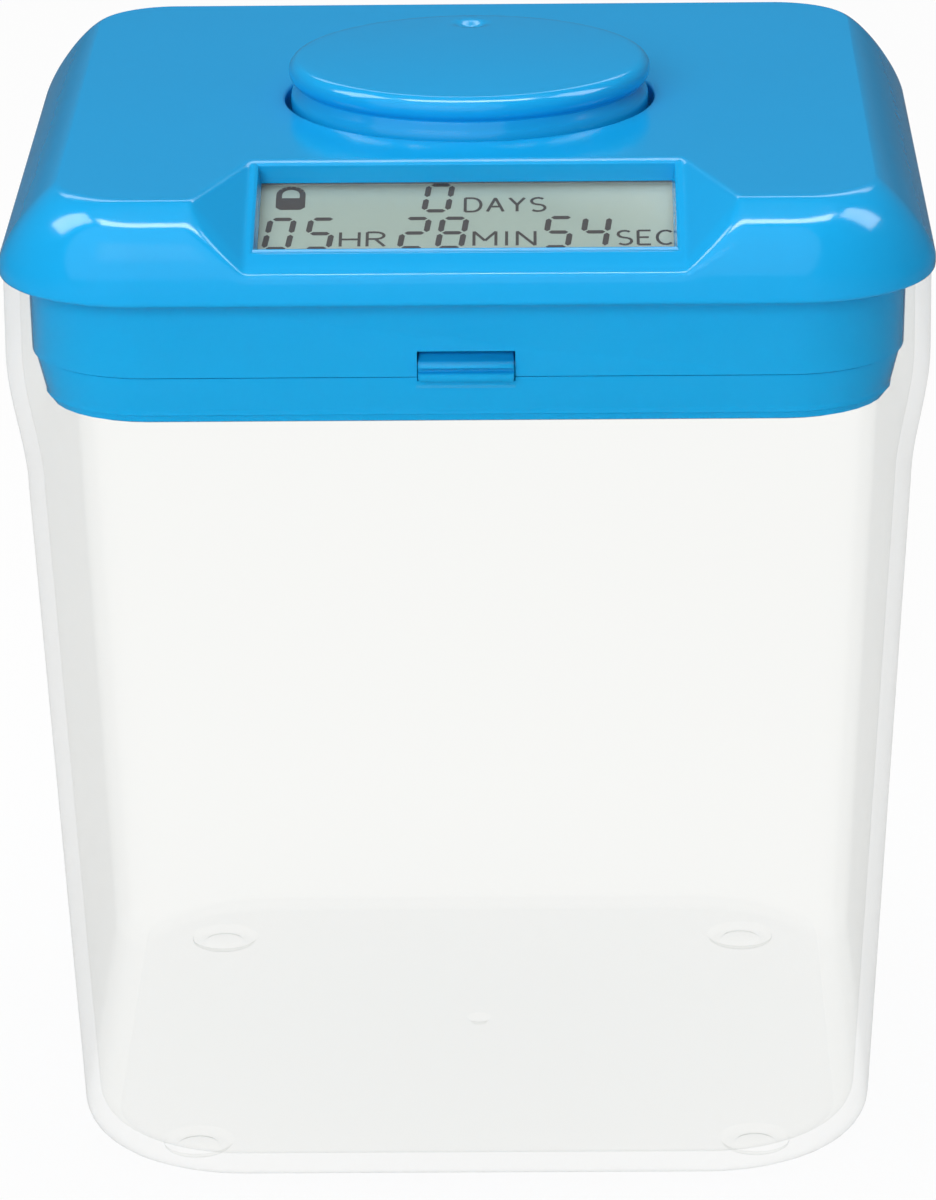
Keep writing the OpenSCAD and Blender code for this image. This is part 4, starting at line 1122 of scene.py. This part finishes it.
def make_display_well():
    """The walls that hold the window and the panel under the facet."""
    well = Surface()
    slack = 0.02
    near = -WINDOW_EDGE - WINDOW_L - slack
    far = -WINDOW_EDGE + slack
    top = -LID_WALL * math.cos(FACET_TILT) + 0.02
    half = WINDOW_HALF + slack
    outer = (STACK_HALF + STACK_WALL, STACK_LOW - STACK_WALL, STACK_HIGH + STACK_WALL)
    rows = [
        rect(-half, near, half, far, top),
        rect(-half, near, half, far, -WINDOW_DEPTH),
        rect(-STACK_HALF, STACK_LOW, STACK_HALF, STACK_HIGH, -WINDOW_DEPTH),
        rect(-STACK_HALF, STACK_LOW, STACK_HALF, STACK_HIGH, STACK_END),
        rect(-outer[0], outer[1], outer[0], outer[2], STACK_END),
        rect(-outer[0], outer[1], outer[0], outer[2], top),
    ]
    first, last = well.stack(rows)
    well.band(last, first)
    piece = well.piece("display_well", lid_plastic, "lid", "lid_blue", "lid_top_cover",
                       turn=FACET_FRAME)
    return turned_out(piece)


def make_window():
    """The clear window, a thin plate with eased edges."""
    window = Surface()
    half = STACK_HALF - 0.1
    low, high = STACK_LOW + 0.1, STACK_HIGH - 0.1
    top = -WINDOW_DEPTH
    rows = [
        rect(-half, low, half, high, top - LENS_T),
        rect(-half, low, half, high, top - 0.06),
        rect(-half + 0.06, low + 0.06, half - 0.06, high - 0.06, top - 0.01),
    ]
    first, last = window.stack(rows)
    window.cap(first, flip=True)
    window.cap(last)
    piece = window.piece("window", clear_window, "lid", "clear_window", "display_window",
                         turn=FACET_FRAME)
    return turned_out(piece)


display_well = make_display_well()
window = make_window()
print("display frame origin", [round(v, 4) for v in FACET_FRAME.translation])

# %% [markdown]
# The panel has a grey-green reflector under its glass. Its colour holds painted light: a
# painted shade, darker under the top edge of the recess, and a painted reflection of the
# room as a faint lighter patch. That is a soft gradient in the panel's own plane, mixed
# over fine speckle.


# %% Panel colour, with painted shade and a painted reflection
def panel_with_painted_light(name, to_panel):
    sheet = new_sheet(name)
    where = sheet.place()
    turned = sheet.add("ShaderNodeMapping", {"vector_type": "TEXTURE"}, {
        "Vector": where, "Location": to_panel.translation,
        "Rotation": to_panel.to_euler()})
    across, up = sheet.split(turned)[:2]
    # Painted light: a painted reflection grows towards the panel's upper right, and the rest is
    # painted shade.
    slant = across + up * 1.2
    painted_glare_ramp = sheet.spread(slant, 4 * MM, 30 * MM, 0.0, 1.0)
    speckle = sheet.noise(where, 2400.0, 2.0, 0.6)
    base = sheet.mix(painted_glare_ramp, colour(163, 182, 173), colour(190, 206, 196))
    # Fine speckle darkens the painted shade and reflection a little, at random.
    speckle_and_painted_light = sheet.mix(speckle * 0.12, base, colour(120, 140, 132))
    return sheet.finish({"Base Color": speckle_and_painted_light, "Roughness": 0.4, "Specular IOR Level": 0.2})


panel_painted_light = panel_with_painted_light("panel_painted_light", FACET_FRAME)
segment_ink = moulded_plastic("segment_ink", colour(44, 42, 45), 0.6, tone=0.02, specular=0.1)
print("panel finish:", panel_painted_light.name)

# %% [markdown]
# ### Digits and marks
# Each bar is a small six-sided plate, slanted like the digits in the picture. The upper
# row counts the days and the lower row hours, minutes and seconds, each with a short mark
# in plain strokes. A closed padlock stands at the left.

# %% Bars and strokes on the glass
INK_Z = LCD_Z + 0.015
INK_T = 0.03
SLANT = 0.1


def plate(ink, corners):
    """A thin plate on the glass with the given corners in the panel's plane."""
    low = ink.row([(x, y, INK_Z) for x, y in corners])
    high = ink.row([(x, y, INK_Z + INK_T) for x, y in corners])
    ink.band(low, high)
    ink.cap(low, flip=True)
    ink.cap(high)


BARS = {
    0: "abcdef", 2: "abdeg", 4: "bcfg", 5: "acdfg", 8: "abcdefg",
}


def bar_ends(width, height):
    """Ends of the seven bars in a digit of unit slant."""
    low, mid, high = 0.0, height / 2, height
    return {
        "a": ((0, high), (width, high)), "b": ((width, high), (width, mid)),
        "c": ((width, mid), (width, low)), "d": ((0, low), (width, low)),
        "e": ((0, mid), (0, low)), "f": ((0, high), (0, mid)), "g": ((0, mid), (width, mid)),
    }


def draw_bar(ink, start, end, thick, gap):
    """A bar with pointed ends between two places."""
    (x0, y0), (x1, y1) = start, end
    length = math.hypot(x1 - x0, y1 - y0)
    ux, uy = (x1 - x0) / length, (y1 - y0) / length
    nx, ny = -uy * thick / 2, ux * thick / 2
    a, b = gap, length - gap
    tip = thick / 2
    corners = [
        (x0 + ux * a, y0 + uy * a), (x0 + ux * (a + tip) + nx, y0 + uy * (a + tip) + ny),
        (x0 + ux * (b - tip) + nx, y0 + uy * (b - tip) + ny), (x0 + ux * b, y0 + uy * b),
        (x0 + ux * (b - tip) - nx, y0 + uy * (b - tip) - ny),
        (x0 + ux * (a + tip) - nx, y0 + uy * (a + tip) - ny),
    ]
    plate(ink, corners)


def draw_digit(ink, number, x, y, width, height, thick=0.95):
    """A seven-bar digit whose lower left end is at x, y."""
    ends = bar_ends(width, height)
    for name in BARS[number]:
        start, end = ends[name]
        lean = [(x + px + SLANT * py, y + py) for px, py in (start, end)]
        draw_bar(ink, *lean, thick, 0.3)


def stroke(ink, path, thick):
    """A run of plain strokes through the given places."""
    for (x0, y0), (x1, y1) in zip(path, path[1:]):
        length = math.hypot(x1 - x0, y1 - y0)
        nx, ny = -(y1 - y0) / length * thick / 2, (x1 - x0) / length * thick / 2
        plate(ink, [
            (x0 + nx, y0 + ny), (x1 + nx, y1 + ny), (x1 - nx, y1 - ny), (x0 - nx, y0 - ny)])


def curve_path(cx, cy, rx, ry, start, end, steps=8):
    turn = [math.radians(start + (end - start) * k / steps) for k in range(steps + 1)]
    return [(cx + rx * math.cos(a), cy + ry * math.sin(a)) for a in turn]


LETTERS = {
    "D": [[(0, 0), (0, 1)], [(0, 1), *curve_path(0.3, 0.5, 0.34, 0.5, 90, -90), (0, 0)]],
    "A": [[(0, 0), (0.32, 1), (0.64, 0)], [(0.12, 0.36), (0.52, 0.36)]],
    "Y": [[(0, 1), (0.3, 0.48), (0.6, 1)], [(0.3, 0.48), (0.3, 0)]],
    "H": [[(0, 0), (0, 1)], [(0.6, 0), (0.6, 1)], [(0, 0.5), (0.6, 0.5)]],
    "R": [[(0, 0), (0, 1)], [(0, 1), *curve_path(0.28, 0.76, 0.26, 0.24, 90, -90), (0, 0.52)],
          [(0.26, 0.52), (0.56, 0)]],
    "M": [[(0, 0), (0, 1), (0.37, 0.35), (0.74, 1), (0.74, 0)]],
    "I": [[(0.1, 0), (0.1, 1)]],
    "N": [[(0, 0), (0, 1), (0.6, 0), (0.6, 1)]],
    "S": [[*curve_path(0.29, 0.75, 0.27, 0.25, 40, 270),
           *curve_path(0.29, 0.25, 0.29, 0.25, 90, -140)[1:]]],
    "E": [[(0.52, 0), (0, 0), (0, 1), (0.52, 1)], [(0, 0.52), (0.44, 0.52)]],
    "C": [[*curve_path(0.36, 0.5, 0.36, 0.5, 50, 310, 12)]],
}
LETTER_W = {"D": 0.64, "A": 0.64, "Y": 0.6, "H": 0.6, "R": 0.56, "M": 0.74, "I": 0.2, "N": 0.6,
            "S": 0.58, "E": 0.52, "C": 0.62}


def draw_word(ink, word, x, y, height, wide, thick=0.5, spacing=0.26):
    """A word in plain strokes whose lower left end is at x, y."""
    for letter in word:
        for path in LETTERS[letter]:
            stroke(ink, [(x + px * height * wide, y + py * height) for px, py in path], thick)
        x += (LETTER_W[letter] + spacing) * height * wide


def draw_padlock(ink, x, y, width, height):
    """A closed padlock: a solid body under a thick shackle."""
    body = height * 0.5
    cut = width * 0.16
    plate(ink, [
        (x + cut, y), (x + width - cut, y), (x + width, y + cut), (x + width, y + body),
        (x, y + body), (x, y + cut)])
    bar = width * 0.2
    middle = x + width / 2
    arch = width / 2 - bar / 2
    top = curve_path(middle, y + height - arch - bar / 2, arch, arch, 180, 0)
    stroke(ink, [(middle - arch, y + body), *top, (middle + arch, y + body)], bar)


print("letters drawn from strokes:", len(LETTERS))


# %% Write the panel
def make_panel():
    panel = Surface()
    half = STACK_HALF - STACK_WALL
    y0, y1 = STACK_LOW + STACK_WALL, STACK_HIGH - STACK_WALL
    rows = [
        rect(-half, y0, half, y1, LCD_Z - LCD_T),
        rect(-half, y0, half, y1, LCD_Z - 0.06),
        rect(-half + 0.06, y0 + 0.06, half - 0.06, y1 - 0.06, LCD_Z),
    ]
    first, last = panel.stack(rows)
    panel.cap(first, flip=True)
    panel.cap(last)
    piece = panel.piece(
        "panel", panel_painted_light, "lid", "display_glass", "lcd_panel", turn=FACET_FRAME)
    return turned_out(piece)


ROW_1 = -8.9
ROW_1_H = 7.9
ROW_2 = -20.0
ROW_2_H = 8.8
DIGIT_W = 3.8
DIGITS = (
    (0, -6.9, ROW_1, ROW_1_H), (0, -32.6, ROW_2, ROW_2_H), (5, -26.0, ROW_2, ROW_2_H),
    (2, -10.7, ROW_2, ROW_2_H), (8, -4.6, ROW_2, ROW_2_H), (5, 12.6, ROW_2, ROW_2_H),
    (4, 18.6, ROW_2, ROW_2_H),
)
PADLOCK = (-31.1, -8.3, 4.8, 7.1)
WORDS = (
    ("DAYS", -0.2, ROW_1 - 0.3, 4.1, 0.98), ("HR", -20.3, ROW_2 + 0.5, 4.2, 1.2),
    ("MIN", 1.3, ROW_2 + 0.5, 4.2, 1.14), ("SEC", 24.5, ROW_2 + 0.5, 4.2, 0.94),
)


def make_segments():
    ink = Surface()
    draw_padlock(ink, *PADLOCK)
    for number, x, y, height in DIGITS:
        draw_digit(ink, number, x, y, DIGIT_W, height)
    for word, x, y, height, wide in WORDS:
        draw_word(ink, word, x, y, height, wide)
    return ink.piece("segments", segment_ink, "lid", "black_plastic", turn=FACET_FRAME)


panel = make_panel()
segments = make_segments()
print("segment faces:", len(segments.data.polygons))

# %% [markdown]
# ## Posts inside the lid
# The shell carries screw posts for the bottom cover and bosses for the control board.
# They show only with the lid open, but a lid without them would be empty. Each is a
# tube with a bore, spun from a profile.

# %% Posts
POST_AT = 55.0
BOSS_AT = 42.0
POST_R = 3.6
BOSS_R = 3.0
PILOT_R = 1.42


POST_ROWS = (
    (POST_AT, POST_R, 141.6, 153.0),
    (BOSS_AT, BOSS_R, 159.0, 167.0),
)


def make_posts():
    posts = Surface()
    top = TOP_Z - 1.5
    for at, radius, low, bore in POST_ROWS:
        for sx, sy in CORNERS:
            first, last = posts.lathe([
                (PILOT_R, bore), (PILOT_R, low + 0.3), (PILOT_R + 0.3, low),
                (radius - 0.2, low), (radius, low + 0.2), (radius, top),
            ], 28, (sx * at, sy * at))
            posts.cap(first)
            posts.cap(last)
    piece = posts.piece("posts", lid_plastic, "lid", "lid_blue", "lid_top_cover")
    return turned_out(piece)


posts = make_posts()
print("post faces:", len(posts.data.polygons))

# %% [markdown]
# A snap dome under the encoder clicks when the dial is pressed. It is a thin sprung shell
# that goes flat and comes back, so a stiff copy would be pierced by the disc above it. We
# spin the shell from a profile and give the piece a mesh of its own.

# %% Snap dome
DOME_STEPS = 7
DOME_T = 0.18


def make_snap_dome():
    low, high = [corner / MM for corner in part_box("push_dome")]
    radius, rise = (high.x - low.x) / 2, high.z - low.z
    centre = ((low.x + high.x) / 2, (low.y + high.y) / 2)
    share = np.linspace(0.04, 1, DOME_STEPS)
    over = [(radius * s, high.z - rise * s ** 2.2) for s in share]
    under = [((radius - DOME_T) * s, high.z - DOME_T - (rise - DOME_T) * s ** 2.2)
             for s in share[::-1]]
    dome = Surface()
    first, last = dome.lathe([*over, *under], 40, centre)
    dome.cap(first)
    dome.cap(last, flip=True)
    piece = dome.piece("snap_dome", steel, "lid", "steel", "push_dome")
    turned_out(piece)
    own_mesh(piece)
    return piece


snap_dome = make_snap_dome()
print("dome faces:", len(snap_dome.data.polygons))

# %% [markdown]
# ## Floor and light
# The product stands on white. A plain pale floor, lit like everything else, would come out
# grey, so what a camera, mirror or clear wall sees of it is lifted towards white, while
# the light that it throws on the object stays as it was. The shadow is kept. In the gloss
# of the lid the floor is toned down, as a photographer does with black card.

# %% Floor and world
FLOOR_LIFT = 0.93
FLOOR_HUSH = 0.8
FLOOR_HALF = 6.0
FLOOR_Z = -0.2 * MM


def make_floor():
    sheet = new_sheet("floor")
    where = sheet.place()
    cloud = sheet.noise(where, 3.0, 2.0, 0.5)
    tone = sheet.mix(cloud, (0.86, 0.86, 0.855, 1.0), (0.88, 0.88, 0.875, 1.0))
    plain = sheet.add("ShaderNodeBsdfDiffuse", {}, {"Color": tone})
    glow = sheet.add("ShaderNodeEmission", {}, {"Color": (1.0, 1.0, 1.0, 1.0), "Strength": 1.0})
    seen, glossy = sheet.light_path()
    mixed = sheet.add("ShaderNodeMixShader", {}, {0: seen * FLOOR_LIFT, 1: plain, 2: glow})
    dark = sheet.add("ShaderNodeEmission", {}, {"Strength": 0.0})
    hushed = sheet.add("ShaderNodeMixShader", {}, {0: glossy * FLOOR_HUSH, 1: mixed, 2: dark})
    grid = bmesh.new()
    bmesh.ops.create_grid(grid, x_segments=8, y_segments=8, size=FLOOR_HALF)
    mesh = bpy.data.meshes.new("floor")
    grid.to_mesh(mesh)
    grid.free()
    mesh.materials.append(sheet.end(hushed))
    floor = bpy.data.objects.new("floor", mesh)
    floor.location.z = FLOOR_Z
    bpy.context.scene.collection.objects.link(floor)
    return floor


ROOM_LIGHT = 0.38
ROOM_GLOSS = 0.11


def make_world():
    """White where it is seen, dimmer as light and dimmer still as a reflection."""
    world = bpy.data.worlds.new("studio")
    bpy.context.scene.world = world
    sheet = Sheet(world)
    seen, glossy = sheet.light_path()
    mirrored = glossy * (1 - seen)
    strength = ROOM_LIGHT + seen * (1 - ROOM_LIGHT) - mirrored * (ROOM_LIGHT - ROOM_GLOSS)
    sky = sheet.add("ShaderNodeBackground", {}, {
        "Color": (1.0, 1.0, 1.0, 1.0), "Strength": strength})
    sheet.add("ShaderNodeOutputWorld", {}, {"Surface": sky})
    return world


floor = make_floor()
world = make_world()
print("room light", ROOM_LIGHT)

# %% [markdown]
# A studio lights gloss in two ways: large soft sources give the tone, and narrow strips
# draw the bright lines along edges. One lamp could do both, but then its square shape
# shows on the shoulder. So the key and top lamps give no reflections here, and the strips
# give nothing else. A strip just in front of overhead meets the crease below the display.
# Three ovals over one another make a sheen on the front that fades out in weak steps.

# %% Soft boxes and strips
SOFT_BOXES = (
    ("key", (-0.5, -1.35, 0.8), 0.9, 0.6, 14.0),
    ("top", (0.0, 0.1, 1.45), 1.2, 1.0, 10.5),
)
STRIPS = (
    ("left", (-0.82, 0.05, 0.95), 0.42, 0.6, 6.5),
    ("right", (0.82, 0.05, 0.95), 0.42, 0.6, 5.5),
    ("front", (0.0, -0.19, 1.3), 1.1, 0.32, 16.0),
    ("back", (0.0, 1.0, 0.86), 1.0, 0.14, 1.2),
)
SHEEN_AT = (-0.55, -1.35, 0.8)
SHEEN_SIZES = (1.5, 2.2, 2.9)
SHEEN_POWER = 2.0
LAMPS_AIM = Vector((0.0, 0.0, 0.16))


def soft_box(name, place, width, depth, watts, reflected, shape="RECTANGLE"):
    """A lamp that either lights surfaces or shows in their gloss."""
    data = bpy.data.lights.new(name, "AREA")
    data.shape = shape
    data.size = width
    data.size_y = depth
    data.energy = watts
    lamp = bpy.data.objects.new(name, data)
    lamp.location = place
    aim = LAMPS_AIM - Vector(place)
    lamp.rotation_euler = aim.to_track_quat("-Z", "Y").to_euler()
    lamp.visible_glossy = reflected
    lamp.visible_diffuse = not reflected
    bpy.context.scene.collection.objects.link(lamp)
    return lamp


lamps = [soft_box(*row, False) for row in SOFT_BOXES]
lamps += [soft_box(*row, True) for row in STRIPS]
lamps += [soft_box(f"sheen_{size}", SHEEN_AT, size, size, SHEEN_POWER * size ** 2, True, "ELLIPSE")
          for size in SHEEN_SIZES]
bpy.context.scene.view_settings.view_transform = "Standard"
print("soft boxes:", [lamp.name for lamp in lamps])
